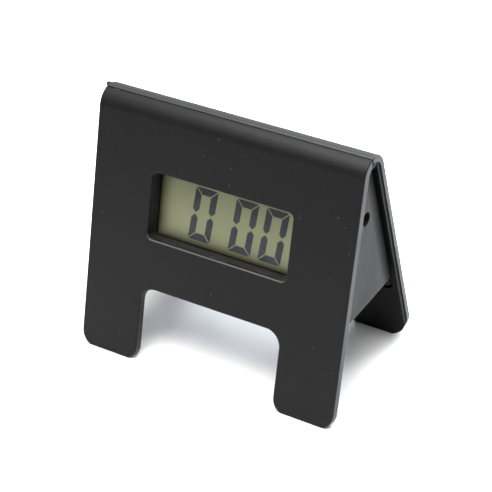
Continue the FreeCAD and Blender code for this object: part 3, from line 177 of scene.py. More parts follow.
# %% The lamps
def softbox(name, place, aim, size, power, colour):
    """A square lamp of the given size, turned from its place towards its aim."""
    lamp = bpy.data.lights.new(name, "AREA")
    lamp.shape = "SQUARE"
    lamp.size = size
    lamp.energy = power
    lamp.color = colour
    holder = bpy.data.objects.new(name, lamp)
    bpy.context.scene.collection.objects.link(holder)
    holder.location = place
    holder.rotation_euler = (Vector(aim) - Vector(place)).to_track_quat("-Z", "Y").to_euler()
    return holder


LAMPS = [
    softbox("rear_lamp", (0.12, 0.55, 0.45), (0.0, 0.10, 0.0), 0.55, 7.2, (0.85, 0.91, 1.0)),
    softbox("top_lamp", (0.02, -0.03, 0.50), (0.0, 0.0, 0.0), 0.42, 6.8, (1.0, 0.99, 0.98)),
    softbox("right_lamp", (0.60, 0.05, 0.22), (0.0, 0.0, 0.04), 0.35, 0.48, (1.0, 1.0, 1.0)),
    softbox("front_lamp", (-0.12, -0.26, 0.46), (0.0, -0.02, 0.0), 0.30, 1.0, (1.0, 1.0, 1.0)),
]
print("lamps:", [lamp.name for lamp in LAMPS])

# %% The room
ROOM_COLOUR = (0.96, 0.98, 1.0, 1.0)
ROOM_IN_FRONT = 0.10
ROOM_BEHIND = 0.95
ROOM_BLEND = 0.6


def room_light():
    """A pale room, brighter behind the clock than in front of it."""
    world = bpy.data.worlds.new("room")
    world.use_nodes = True
    tree = world.node_tree
    background = tree.nodes["Background"]
    where = tree.nodes.new("ShaderNodeTexCoord")
    parts = tree.nodes.new("ShaderNodeSeparateXYZ")
    shade = tree.nodes.new("ShaderNodeMapRange")
    shade.inputs["From Min"].default_value = -ROOM_BLEND
    shade.inputs["From Max"].default_value = ROOM_BLEND
    shade.inputs["To Min"].default_value = ROOM_IN_FRONT
    shade.inputs["To Max"].default_value = ROOM_BEHIND
    tree.links.new(where.outputs["Generated"], parts.inputs[0])
    tree.links.new(parts.outputs["Y"], shade.inputs["Value"])
    tree.links.new(shade.outputs["Result"], background.inputs["Strength"])
    background.inputs["Color"].default_value = ROOM_COLOUR
    bpy.context.scene.world = world


room_light()
bpy.context.scene.view_settings.view_transform = "Standard"
print("room:", bpy.context.scene.world.name)

# %% [markdown]
# ## Shared effects
# Grain, dust, handling marks and rubbed edges with a painted highlight turn up in many finishes.
# Each is a node group made once, with named sockets, and every material places it with its own
# numbers. All of them read the part's own Object coordinates, so they stay put when the stand or
# the door moves.

# %% Helpers for node groups
def new_group(name, inputs, outputs):
    """A shader node group with the named sockets, and its input and output nodes."""
    group = bpy.data.node_groups.new(name, "ShaderNodeTree")
    for title, value in inputs:
        socket = group.interface.new_socket(title, in_out="INPUT", socket_type="NodeSocketFloat")
        socket.default_value = value
    for title in outputs:
        group.interface.new_socket(title, in_out="OUTPUT", socket_type="NodeSocketFloat")
    start = group.nodes.new("NodeGroupInput")
    end = group.nodes.new("NodeGroupOutput")
    return group, start, end


def put(tree, kind, settings=(), **values):
    """A new node of a kind, with its own settings and the values of its input sockets."""
    node = tree.nodes.new("ShaderNode" + kind)
    for name, value in dict(settings).items():
        setattr(node, name, value)
    for name, value in values.items():
        socket = node.inputs[name.replace("_", " ")]
        if hasattr(value, "is_output"):
            tree.links.new(value, socket)
        else:
            socket.default_value = value
    return node


def sum_up(tree, operation, first, second):
    """The result of a Math node; each of the two may be a number or another node's output."""
    node = tree.nodes.new("ShaderNodeMath")
    node.operation = operation
    for socket, value in zip(node.inputs, (first, second)):
        if hasattr(value, "is_output"):
            tree.links.new(value, socket)
        else:
            socket.default_value = value
    return node.outputs[0]


def spread(tree, value, low, high, start, end):
    """A value mapped from low..high to start..end, and held there beyond both."""
    node = put(tree, "MapRange", Value=value, From_Min=low, From_Max=high, To_Min=start, To_Max=end)
    return node.outputs["Result"]


print("group helpers ready")

# %% [markdown]
# ### Eroded grain
# Matt mouldings take their texture from a mould that was roughened by sparks. It is a dense field
# of tiny pits of about the same size. Two layers of noise, one about twice as fine as the other,
# give that; a voronoi pattern alone would look like leather.

# %% The eroded grain group
FINER_GRAIN = 2.3
FINER_SHARE = 0.6


def make_eroded_grain():
    """Height is two layers of noise; Tone is the coarser one, for colour and gloss."""
    group, start, end = new_group("eroded_grain", [("Size", 0.0003)], ["Height", "Tone"])
    where = put(group, "TexCoord").outputs["Object"]
    scale = sum_up(group, "DIVIDE", 1.0, start.outputs["Size"])
    finer = sum_up(group, "MULTIPLY", scale, FINER_GRAIN)
    coarse = put(group, "TexNoise", Vector=where, Scale=scale, Detail=2.0, Roughness=0.6)
    fine = put(group, "TexNoise", Vector=where, Scale=finer, Detail=1.0, Roughness=0.5)
    weaker = sum_up(group, "MULTIPLY", fine.outputs[0], FINER_SHARE)
    both = sum_up(group, "ADD", coarse.outputs[0], weaker)
    group.links.new(both, end.inputs["Height"])
    group.links.new(spread(group, coarse.outputs[0], 0.3, 0.7, 0.0, 1.0), end.inputs["Tone"])
    return group


ERODED_GRAIN = make_eroded_grain()
print("group:", ERODED_GRAIN.name)

# %% [markdown]
# ### Dust and handling marks
# Black plastic shows every speck of dust, and fingers leave faint glossier patches. Dust is a dot
# in a few of many random cells. A mark is a wide, soft noise that changes only the gloss.

# %% The dust and handling groups
def make_dust():
    """Mask is 1 in a small dot of the cells whose random number is above the Rarity."""
    inputs = [("Spacing", 0.002), ("Dot", 0.10), ("Rarity", 0.8)]
    group, start, end = new_group("dust", inputs, ["Mask"])
    where = put(group, "TexCoord").outputs["Object"]
    scale = sum_up(group, "DIVIDE", 1.0, start.outputs["Spacing"])
    cells = put(group, "TexVoronoi", Vector=where, Scale=scale, Randomness=1.0)
    near = sum_up(group, "LESS_THAN", cells.outputs["Distance"], start.outputs["Dot"])
    chance = put(group, "SeparateColor", Color=cells.outputs["Color"])
    picked = sum_up(group, "GREATER_THAN", chance.outputs[0], start.outputs["Rarity"])
    group.links.new(sum_up(group, "MULTIPLY", near, picked), end.inputs["Mask"])
    return group


def make_handling():
    """Mask is a soft noise of the given width, pushed towards its dark side."""
    group, start, end = new_group("handling", [("Width", 0.02)], ["Mask"])
    where = put(group, "TexCoord").outputs["Object"]
    scale = sum_up(group, "DIVIDE", 1.0, start.outputs["Width"])
    cloud = put(group, "TexNoise", Vector=where, Scale=scale, Detail=3.0, Roughness=0.55,
                Distortion=0.6)
    group.links.new(spread(group, cloud.outputs[0], 0.42, 0.72, 0.0, 1.0), end.inputs["Mask"])
    return group


DUST = make_dust()
HANDLING = make_handling()
print("groups:", DUST.name, HANDLING.name)

# %% [markdown]
# ### Rubbed edges, with a painted highlight
# Where hands and tables touch a moulding, its grain is polished away first on the outer edges.
# A Bevel node gives the normal as if the edges were rounder; where it differs from the real one
# there is an edge. A noise breaks the rub up, because wear is never even. The same mask also
# pales the edges' colour, partly as wear and partly as a painted highlight on their rounding.

# %% The rubbed edge group
def make_rubbed_edges():
    """Mask is how far a widely rounded normal turns from the surface's own, broken by noise."""
    group, start, end = new_group("rubbed_and_highlit_edges", [("Width", 0.0006)], ["Mask"])
    rounded = put(group, "Bevel", {"samples": 4}, Radius=start.outputs["Width"])
    own = put(group, "NewGeometry")
    turn = put(group, "VectorMath", {"operation": "DOT_PRODUCT"})
    group.links.new(rounded.outputs[0], turn.inputs[0])
    group.links.new(own.outputs["Normal"], turn.inputs[1])
    edge = spread(group, turn.outputs["Value"], 0.98, 0.80, 0.0, 1.0)
    where = put(group, "TexCoord").outputs["Object"]
    patches = put(group, "TexNoise", Vector=where, Scale=240.0, Detail=3.0)
    broken = spread(group, patches.outputs[0], 0.38, 0.62, 0.15, 1.0)
    group.links.new(sum_up(group, "MULTIPLY", edge, broken), end.inputs["Mask"])
    return group


RUBBED_AND_HIGHLIT_EDGES = make_rubbed_edges()
print("group:", RUBBED_AND_HIGHLIT_EDGES.name)

# %% [markdown]
# ### Round the window and into the gaps
# Three things depend on where a point lies on the clock. The lower lip of the window gets a painted
# highlight where it turns upwards, and the display gets painted shade along its border, under the
# gasket. The sides of the case get painted shade towards the narrow gap in front of the stand, and
# the ridge a line of painted shade at its seam. The lens and the case are measured on the parts.
# What the imported model doesn't say stands here: how far the lens reaches past the window, the
# middle of the ridge, how far the seam is turned round it from upright, and how far the back of the
# case leans.

# %% The window border, rear gap shade and seam shade groups
LENS_MARGIN = 0.0012
RIDGE_MIDDLE = (0.00113, 0.07380)
SEAM_TURN = math.radians(-10.5)
REAR_LEAN = math.radians(14.6)
CASE_REAR = np.array([0.0, math.cos(REAR_LEAN), math.sin(REAR_LEAN)])
LIP_DEPTH = (-0.0006, -0.0003)
LIP_FACING = (0.10, 0.45)
GAP_FULL = 0.15
GAP_FADE = 0.8
GAP_SIDES = (0.990, 0.998)
SEAM_CORE = 0.6


def along_direction(tree, direction, offset=0.0):
    """How far a point of the part lies along a direction, less an offset."""
    where = put(tree, "TexCoord").outputs["Object"]
    dot = put(tree, "VectorMath", {"operation": "DOT_PRODUCT"})
    tree.links.new(where, dot.inputs[0])
    dot.inputs[1].default_value = tuple(direction)
    return sum_up(tree, "SUBTRACT", dot.outputs["Value"], offset)


def make_window_border():
    """Outside is how far a point lies beyond the window's rectangle, the greater of the two
    distances past its half sides. Lip is 1 along the border, close to the front, where the
    surface turns upwards; it places a painted highlight on the window's lower lip."""
    group, start, end = new_group("window_border", [("Width", 0.0005)], ["Outside", "Lip"])
    beyond = []
    for direction in (ACROSS, UP):
        low, high = reach("display_lens", direction)
        from_middle = along_direction(group, direction, float(low + high) / 2)
        half = float(high - low) / 2 - LENS_MARGIN
        beyond.append(sum_up(group, "SUBTRACT", sum_up(group, "ABSOLUTE", from_middle, 0.0), half))
    outside = sum_up(group, "MAXIMUM", *beyond)
    group.links.new(outside, end.inputs["Outside"])
    apart = sum_up(group, "DIVIDE", sum_up(group, "ABSOLUTE", outside, 0.0), start.outputs["Width"])
    near = spread(group, apart, 0.4, 1.0, 1.0, 0.0)
    facing = put(group, "VectorMath", {"operation": "DOT_PRODUCT"})
    group.links.new(put(group, "NewGeometry").outputs["Normal"], facing.inputs[0])
    facing.inputs[1].default_value = tuple(UP)
    upwards = spread(group, facing.outputs["Value"], *LIP_FACING, 0.0, 1.0)
    front = float(reach("front_cover", OUT)[1])
    shallow = spread(group, along_direction(group, OUT, front), *LIP_DEPTH, 0.0, 1.0)
    turned = sum_up(group, "MULTIPLY", upwards, shallow)
    group.links.new(sum_up(group, "MULTIPLY", near, turned), end.inputs["Lip"])
    return group


def make_rear_gap():
    """Mask rises from 0 to 1 over the last few millimetres before the case's sloping back, and
    is 0 away from the case's two sides. It places painted shade on the sides before the stand."""
    group, start, end = new_group("rear_gap_shade", [("Depth", 0.0055)], ["Mask"])
    corners = corners_of("case_back")
    across = np.abs(corners[:, 0])
    back = float((corners[across > GAP_SIDES[0] * across.max()] @ CASE_REAR).max())
    left = sum_up(group, "MULTIPLY", along_direction(group, CASE_REAR, back), -1.0)
    share = sum_up(group, "DIVIDE", left, start.outputs["Depth"])
    even = spread(group, share, GAP_FULL, 1.0, 1.0, 0.0)
    fade = sum_up(group, "POWER", even, GAP_FADE)
    aside = sum_up(group, "ABSOLUTE", along_direction(group, ACROSS), 0.0)
    low, high = (limit * across.max() for limit in GAP_SIDES)
    on_side = spread(group, aside, low, high, 0.0, 1.0)
    group.links.new(sum_up(group, "MULTIPLY", fade, on_side), end.inputs["Mask"])
    return group


def make_seam():
    """Mask is 1 on the last fraction of a millimetre on either side of the seam between the
    rolled front and the stand, which lies in a plane through the middle of the ridge. It places a
    line of painted shade in the seam."""
    group, start, end = new_group("seam", [("Width", 0.00036)], ["Mask"])
    round_ridge = np.array([0.0, math.cos(SEAM_TURN), -math.sin(SEAM_TURN)])
    middle = float(np.dot(round_ridge, (0.0, *RIDGE_MIDDLE)))
    away = sum_up(group, "ABSOLUTE", along_direction(group, round_ridge, middle), 0.0)
    share = sum_up(group, "DIVIDE", away, start.outputs["Width"])
    group.links.new(spread(group, share, SEAM_CORE, 1.0, 1.0, 0.0), end.inputs["Mask"])
    return group


WINDOW_BORDER = make_window_border()
REAR_GAP_SHADE = make_rear_gap()
SEAM_SHADE = make_seam()
print("groups:", WINDOW_BORDER.name, REAR_GAP_SHADE.name, SEAM_SHADE.name)

# %% [markdown]
# ## Finishes
# A finish is a material with one Principled shader. What is the same all over, such as the index
# of refraction, is set on the shader; what changes over the surface comes from the groups.

# %% Helpers for materials
def new_finish(name):
    """An empty material with one Principled shader, and its tree and shader."""
    material = bpy.data.materials.new(name)
    material.use_nodes = True
    return material, material.node_tree, material.node_tree.nodes["Principled BSDF"]


def effect(tree, group, **values):
    """A shared effect placed in a material's tree, with its inputs set."""
    node = tree.nodes.new("ShaderNodeGroup")
    node.node_tree = group
    for name, value in values.items():
        node.inputs[name].default_value = value
    return node.outputs


def blend(tree, share, first, second):
    """A colour between two, by a share; each may be a colour or another node's output."""
    node = tree.nodes.new("ShaderNodeMix")
    node.data_type = "RGBA"
    sockets = (node.inputs["Factor"], node.inputs[6], node.inputs[7])
    for socket, value in zip(sockets, (share, first, second)):
        if hasattr(value, "is_output"):
            tree.links.new(value, socket)
        else:
            socket.default_value = value if isinstance(value, float) else (*value, 1.0)
    return node.outputs[2]


def raise_surface(tree, shader, height, distance):
    """A Bump node that turns a height into the shader's normal."""
    bump = put(tree, "Bump", Height=height, Distance=distance, Strength=1.0)
    tree.links.new(bump.outputs[0], shader.inputs["Normal"])


print("material helpers ready")

# %% [markdown]
# ### Moulded plastic
# All the black parts are the same kind of plastic, but each mould had its own texture: the outer
# plates are fine and even, the case a little coarser, the buttons and the door almost smooth.
# One function with a few numbers makes them all, so the family stays alike.

# %% The moulded plastic finish
PLASTIC_IOR = 1.52
DUST_COLOUR = (0.085, 0.084, 0.082)
# Colour of the painted highlight on the window's lower lip.
LIP_HIGHLIGHT_COLOUR = (0.065, 0.065, 0.068)
# Colour and tint of painted shade, in the gap before the stand and in the seam.
PAINTED_SHADE_COLOUR = (0.0008, 0.0008, 0.0007)
PAINTED_SHADE_TINT = 0.35
# Edges are paled by this factor, partly as wear and partly as a painted highlight on their rounding.
RUB_AND_HIGHLIGHT_PALENESS = 5.0
RUBBED_POLISH = 0.24
MARK_POLISH = 0.45


def moulded_plastic(name, colour, pale, gloss, grain_size, grain_depth, rub=0.35, rarity=0.90,
                    shine=0.34, lip_highlight=False, shadow=None):
    """Plastic between a colour and a paler one by its grain, with dust, marks and rubbed edges,
    whose paleness is partly wear and partly a painted highlight. gloss is the least and greatest
    roughness, and shine how strongly the surface mirrors. The lip flag puts a painted highlight on
    the lower lip of the window. shadow is a group whose Mask paints shade on what lies in a gap or
    in the seam. It turns the surface to a black metal, which mirrors little, and a dark tint takes
    away what a metal mirrors at a slant. The tint would dull the plastic too, so its mirroring is
    raised by the same share."""
    material, tree, shader = new_finish(name)
    grain = effect(tree, ERODED_GRAIN, Size=grain_size)
    marks = effect(tree, HANDLING, Width=0.022)
    edges = effect(tree, RUBBED_AND_HIGHLIT_EDGES, Width=0.0007)
    dust = effect(tree, DUST, Spacing=0.0024, Dot=0.07, Rarity=rarity)
    mottled = blend(tree, grain["Tone"], colour, pale)
    # Paler edges: partly wear, partly a painted highlight on the rounding.
    rubbed = tuple(RUB_AND_HIGHLIGHT_PALENESS * value for value in pale)
    worn = blend(tree, sum_up(tree, "MULTIPLY", edges["Mask"], rub), mottled, rubbed)
    dust_and_painted_light = blend(tree, dust["Mask"], worn, DUST_COLOUR)
    # Painted highlight on the lower lip of the window, where it faces upwards.
    if lip_highlight:
        dust_and_painted_light = blend(tree, effect(tree, WINDOW_BORDER, Width=0.0005)["Lip"], dust_and_painted_light, LIP_HIGHLIGHT_COLOUR)
    # Painted shade: where the mask is high the plastic turns dark and mirrors little.
    if shadow:
        gap = effect(tree, shadow)["Mask"]
        dust_and_painted_light = blend(tree, gap, dust_and_painted_light, PAINTED_SHADE_COLOUR)
        tree.links.new(gap, shader.inputs["Metallic"])
        shader.inputs["Specular Tint"].default_value = (PAINTED_SHADE_TINT, PAINTED_SHADE_TINT, PAINTED_SHADE_TINT, 1.0)
    tree.links.new(dust_and_painted_light, shader.inputs["Base Color"])
    polish = sum_up(tree, "MULTIPLY", marks["Mask"], MARK_POLISH)
    even = spread(tree, sum_up(tree, "SUBTRACT", grain["Tone"], polish), -0.5, 1.0, *gloss)
    smoother = sum_up(tree, "MULTIPLY", edges["Mask"], RUBBED_POLISH)
    tree.links.new(sum_up(tree, "SUBTRACT", even, smoother), shader.inputs["Roughness"])
    shader.inputs["IOR"].default_value = PLASTIC_IOR
    shader.inputs["Specular IOR Level"].default_value = shine / PAINTED_SHADE_TINT if shadow else shine
    raise_surface(tree, shader, grain["Height"], grain_depth)
    return material


# The cover and the stand get a line of painted shade at the seam of the ridge.
COVER_PLASTIC = moulded_plastic(
    "cover_plastic", (0.0040, 0.0040, 0.0041), (0.0075, 0.0075, 0.0077),
    (0.36, 0.50), 0.00030, 0.000010, shine=0.122, lip_highlight=True, shadow=SEAM_SHADE)
# The stand's plastic is a paler, cooler copy of the cover's, a painted reflection of the cool light
# its ridge mirrors.
STAND_PLASTIC = moulded_plastic(
    "stand_plastic", (0.0058, 0.0060, 0.0064), (0.0100, 0.0104, 0.0110),
    (0.40, 0.58), 0.00030, 0.000010, shine=0.30, shadow=SEAM_SHADE)
# The case's sides get painted shade towards the gap in front of the stand.
CASE_PLASTIC = moulded_plastic(
    "case_plastic", (0.0062, 0.0060, 0.0058), (0.0125, 0.0122, 0.0118),
    (0.48, 0.66), 0.00042, 0.000022, rub=0.2, shine=0.090, shadow=REAR_GAP_SHADE)
# The stand's inner panel is a much darker copy of the plastic: painted shade for the shaded inside
# of the stand.
SHADED_PANEL_PLASTIC = moulded_plastic(
    "panel_plastic_painted_shade", (0.0014, 0.0014, 0.0013), (0.0026, 0.0026, 0.0024),
    (0.50, 0.66), 0.00036, 0.000014, rub=0.1, shine=0.10)
SCREW_BLACK = moulded_plastic(
    "blackened_steel", (0.0040, 0.0040, 0.0042), (0.0080, 0.0080, 0.0084),
    (0.30, 0.45), 0.00020, 0.000003, rub=0.2, shine=0.20)
BUTTON_PLASTIC = moulded_plastic(
    "button_plastic", (0.0090, 0.0090, 0.0092), (0.0130, 0.0130, 0.0134),
    (0.30, 0.42), 0.00020, 0.000004, rarity=0.97)
DOOR_PLASTIC = moulded_plastic(
    "door_plastic", (0.0065, 0.0065, 0.0065), (0.0110, 0.0110, 0.0112),
    (0.36, 0.52), 0.00026, 0.000008)
KNOB_PLASTIC = moulded_plastic(
    "knob_plastic", (0.55, 0.54, 0.51), (0.66, 0.65, 0.62),
    (0.34, 0.46), 0.00024, 0.000006, rub=0.0, rarity=0.98)
RUBBER = moulded_plastic(
    "gasket_rubber", (0.010, 0.010, 0.010), (0.018, 0.018, 0.018),
    (0.70, 0.85), 0.00020, 0.000010, rub=0.0)
RESIN = moulded_plastic(
    "chip_resin", (0.008, 0.008, 0.008), (0.014, 0.014, 0.014),
    (0.15, 0.28), 0.00150, 0.000030, rub=0.0)
HOLDER_PLASTIC = moulded_plastic(
    "holder_plastic", (0.70, 0.70, 0.67), (0.80, 0.80, 0.77),
    (0.40, 0.55), 0.00030, 0.000006, rub=0.0)
print("plastics made")

# %% [markdown]
# ### Clear and shiny parts of the display
# The window is a flat clear sheet. In a path tracer, real glass blocks the light of lamps, which
# would leave the display in the dark. So shadow rays and diffuse rays pass straight through a
# second, transparent shader. The low index of refraction keeps the sheet's own mirroring faint.

# %% The clear finishes
SHEET_IOR = 1.27


def clear_sheet(name, tint, roughness):
    """Clear plastic or glass with faint wipe marks, which lets lamps through."""
    material, tree, shader = new_finish(name)
    marks = effect(tree, HANDLING, Width=0.009)
    shader.inputs["Base Color"].default_value = (*tint, 1.0)
    shader.inputs["Transmission Weight"].default_value = 1.0
    shader.inputs["IOR"].default_value = SHEET_IOR
    tree.links.new(spread(tree, marks["Mask"], 0.0, 1.0, *roughness), shader.inputs["Roughness"])
    through = put(tree, "BsdfTransparent")
    chooser = put(tree, "MixShader")
    rays = put(tree, "LightPath")
    either = sum_up(tree, "MAXIMUM", rays.outputs["Is Shadow Ray"], rays.outputs["Is Diffuse Ray"])
    tree.links.new(either, chooser.inputs[0])
    tree.links.new(shader.outputs[0], chooser.inputs[1])
    tree.links.new(through.outputs[0], chooser.inputs[2])
    tree.links.new(chooser.outputs[0], tree.nodes["Material Output"].inputs["Surface"])
    return material


WINDOW_PLASTIC = clear_sheet("window_plastic", (0.98, 0.985, 0.98), (0.01, 0.05))
DISPLAY_GLASS = clear_sheet("display_glass", (0.93, 0.96, 0.93), (0.01, 0.03))
print("clear finishes made")

# %% [markdown]
# ### The face of the display
# A reflective display without a lamp of its own looks grey-green: light passes the polarising film
# and the liquid crystal twice, off a brushed silver film behind. The eye sees one matt olive
# surface with a very fine sparkle, so the front film is given that look and is not see-through.

# %% The display face finish
# Colours of the painted shade along the display's border and of the black rim right at it.
BORDER_SHADE_COLOUR = (0.030, 0.030, 0.026)
RIM_SHADE_COLOUR = (0.003, 0.003, 0.003)
BRUSHED_SHARE = 0.6
CLOUD_SHARE = 0.4


def display_face(name, shade, light, metal=0.0, gloss=(0.50, 0.62), shaded_border=False):
    """An olive surface with fine sparkle from a stretched noise, like the brushed film behind.
    metal is how far it mirrors like the film, and gloss its least and greatest roughness;
    the border flag paints shade along the window's border, where the gasket keeps the light away."""
    material, tree, shader = new_finish(name)
    where = put(tree, "TexCoord").outputs["Object"]
    stretched = put(tree, "Mapping", Vector=where, Scale=(1.0, 5.0, 5.0)).outputs[0]
    brushed = put(tree, "TexNoise", Vector=stretched, Scale=900.0, Detail=2.0).outputs[0]
    cloud = put(tree, "TexNoise", Vector=where, Scale=60.0, Detail=1.0).outputs[0]
    mixed = sum_up(tree, "ADD", sum_up(tree, "MULTIPLY", brushed, BRUSHED_SHARE),
                   sum_up(tree, "MULTIPLY", cloud, CLOUD_SHARE))
    colour = blend(tree, spread(tree, mixed, 0.38, 0.62, 0.0, 1.0), shade, light)
    # Painted shade: darker towards the window's border, and black right at it.
    if shaded_border:
        outside = effect(tree, WINDOW_BORDER, Width=0.0005)["Outside"]
        border = spread(tree, outside, -0.0016, -0.0003, 0.0, 0.75)
        rim = spread(tree, outside, -0.0004, -0.0002, 0.0, 1.0)
        colour = blend(tree, rim, blend(tree, border, colour, BORDER_SHADE_COLOUR), RIM_SHADE_COLOUR)
    tree.links.new(colour, shader.inputs["Base Color"])
    tree.links.new(spread(tree, brushed, 0.3, 0.7, *gloss), shader.inputs["Roughness"])
    shader.inputs["Metallic"].default_value = metal
    raise_surface(tree, shader, brushed, 0.000004)
    return material


DISPLAY_FACE = display_face("display_face", (0.210, 0.217, 0.115), (0.234, 0.241, 0.129),
                            0.75, (0.38, 0.48), shaded_border=True)
REFLECTOR_FILM = display_face("reflector_film", (0.50, 0.51, 0.40), (0.60, 0.61, 0.50))
ZEBRA_RUBBER = display_face("zebra_rubber", (0.50, 0.50, 0.52), (0.62, 0.62, 0.64))
print("display faces made")

# %% [markdown]
# ### Liquid crystal segments
# A segment that is switched on turns dark blue-grey, not pure black, because a little light
# still leaks through. A faint noise in colour and gloss keeps it from looking like ink.

# %% The segment finish
def crystal_segment():
    """Dark blue-grey with a faint cloud, as smooth as the film over it."""
    material, tree, shader = new_finish("crystal_segment")
    where = put(tree, "TexCoord").outputs["Object"]
    cloud = put(tree, "TexNoise", Vector=where, Scale=700.0, Detail=2.0).outputs[0]
    share = spread(tree, cloud, 0.35, 0.65, 0.0, 1.0)
    colour = blend(tree, share, (0.0085, 0.0115, 0.0170), (0.0125, 0.0160, 0.0220))
    tree.links.new(colour, shader.inputs["Base Color"])
    tree.links.new(spread(tree, cloud, 0.3, 0.7, 0.48, 0.60), shader.inputs["Roughness"])
    shader.inputs["Specular IOR Level"].default_value = 0.15
    return material


CRYSTAL = crystal_segment()
print("segment finish:", CRYSTAL.name)

# %% [markdown]
# ### Metals, board and battery
# These parts sit inside the case, and show only through an opening or when the door is off.
# They still get the finish of the real ones: plated steel with fine scratches, a green board with
# copper showing darker through the mask, and a battery in a printed sleeve of two bands.

# %% The metal finishes
def plated_metal(name, colour, dull, gloss, stretch):
    """Metal between a colour and a duller one, scratched along the direction of its stretch."""
    material, tree, shader = new_finish(name)
    where = put(tree, "TexCoord").outputs["Object"]
    drawn = put(tree, "Mapping", Vector=where, Scale=stretch).outputs[0]
    scratches = put(tree, "TexNoise", Vector=drawn, Scale=1400.0, Detail=3.0).outputs[0]
    tarnish = effect(tree, HANDLING, Width=0.004)
    tree.links.new(blend(tree, tarnish["Mask"], colour, dull), shader.inputs["Base Color"])
    tree.links.new(spread(tree, scratches, 0.3, 0.7, *gloss), shader.inputs["Roughness"])
    shader.inputs["Metallic"].default_value = 1.0
    raise_surface(tree, shader, scratches, 0.000004)
    return material


EVEN = (1.0, 1.0, 1.0)
STEEL = plated_metal(
    "zinc_steel", (0.62, 0.62, 0.63), (0.42, 0.42, 0.43), (0.22, 0.42), EVEN)
NICKEL = plated_metal(
    "nickel_strip", (0.70, 0.69, 0.66), (0.50, 0.49, 0.46), (0.18, 0.34), (4.0, 1.0, 1.0))
GOLD = plated_metal(
    "gold_pins", (0.83, 0.66, 0.30), (0.62, 0.47, 0.20), (0.15, 0.28), EVEN)
BRASS = plated_metal(
    "brass_disc", (0.74, 0.58, 0.28), (0.50, 0.38, 0.18), (0.25, 0.45), (1.0, 1.0, 5.0))
FIRED_SILVER = plated_metal(
    "fired_silver", (0.82, 0.80, 0.74), (0.62, 0.60, 0.55), (0.40, 0.60), EVEN)
print("metals made")

# %% The board, ceramic and battery finishes
TRACK_HEIGHT = 0.00002
BAND_END = 0.0122
BAND_SOFTNESS = 0.0002


def layered_board():
    """Green mask over copper: darker and slightly raised where a point is far from the middle
    of its voronoi cell, counted in square steps. A fine noise varies the gloss."""
    material, tree, shader = new_finish("board_mask")
    where = put(tree, "TexCoord").outputs["Object"]
    cells = put(tree, "TexVoronoi", {"distance": "MANHATTAN"}, Vector=where, Scale=420.0)
    weave = put(tree, "TexNoise", Vector=where, Scale=2600.0, Detail=2.0).outputs[0]
    copper = spread(tree, cells.outputs["Distance"], 0.40, 0.46, 0.0, 1.0)
    colour = blend(tree, copper, (0.030, 0.150, 0.060), (0.016, 0.090, 0.040))
    tree.links.new(colour, shader.inputs["Base Color"])
    tree.links.new(spread(tree, weave, 0.3, 0.7, 0.22, 0.36), shader.inputs["Roughness"])
    raise_surface(tree, shader, copper, TRACK_HEIGHT)
    return material


def fired_ceramic():
    """Brown ceramic, from darker to paler by a fine noise."""
    material, tree, shader = new_finish("capacitor_ceramic")
    where = put(tree, "TexCoord").outputs["Object"]
    specks = put(tree, "TexNoise", Vector=where, Scale=5200.0, Detail=3.0).outputs[0]
    colour = blend(tree, specks, (0.30, 0.20, 0.12), (0.62, 0.48, 0.34))
    tree.links.new(colour, shader.inputs["Base Color"])
    tree.links.new(spread(tree, specks, 0.3, 0.7, 0.45, 0.62), shader.inputs["Roughness"])
    return material


def battery_sleeve():
    """A dark sleeve with a silver band at the end by the nub, and fine scuffs along it."""
    material, tree, shader = new_finish("battery_sleeve")
    nub_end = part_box("battery_cell")[1].x
    where = put(tree, "TexCoord").outputs["Object"]
    along = put(tree, "SeparateXYZ", Vector=where).outputs["X"]
    band = spread(tree, along, nub_end - BAND_END, nub_end - BAND_END + BAND_SOFTNESS, 0.0, 1.0)
    scuffs = put(tree, "TexNoise", Vector=where, Scale=900.0, Detail=4.0).outputs[0]
    dark = blend(tree, scuffs, (0.030, 0.034, 0.042), (0.060, 0.066, 0.078))
    silver = blend(tree, scuffs, (0.52, 0.53, 0.55), (0.66, 0.67, 0.68))
    tree.links.new(blend(tree, band, dark, silver), shader.inputs["Base Color"])
    tree.links.new(spread(tree, scuffs, 0.3, 0.7, 0.24, 0.40), shader.inputs["Roughness"])
    shader.inputs["Coat Weight"].default_value = 0.4
    return material


BOARD_MASK = layered_board()
CERAMIC = fired_ceramic()
SLEEVE = battery_sleeve()
print("board, ceramic and sleeve made")

# %% The floor finish
def floor_finish():
    """Smooth white laminate with the faintest unevenness, glossy enough to mirror the feet."""
    material, tree, shader = new_finish("white_laminate")
    where = put(tree, "TexCoord").outputs["Object"]
    cloud = put(tree, "TexNoise", Vector=where, Scale=30.0, Detail=2.0).outputs[0]
    colour = blend(tree, cloud, (0.90, 0.90, 0.90), (0.93, 0.93, 0.93))
    tree.links.new(colour, shader.inputs["Base Color"])
    tree.links.new(spread(tree, cloud, 0.3, 0.7, 0.16, 0.22), shader.inputs["Roughness"])
    return material


FLOOR.data.materials.append(floor_finish())
print("floor finish:", FLOOR.data.materials[0].name)

# %% [markdown]
# ## Dressing the parts
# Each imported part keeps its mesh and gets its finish. A list by finish is easier to check than one
# assignment after another, and the last line proves that no part was forgotten.

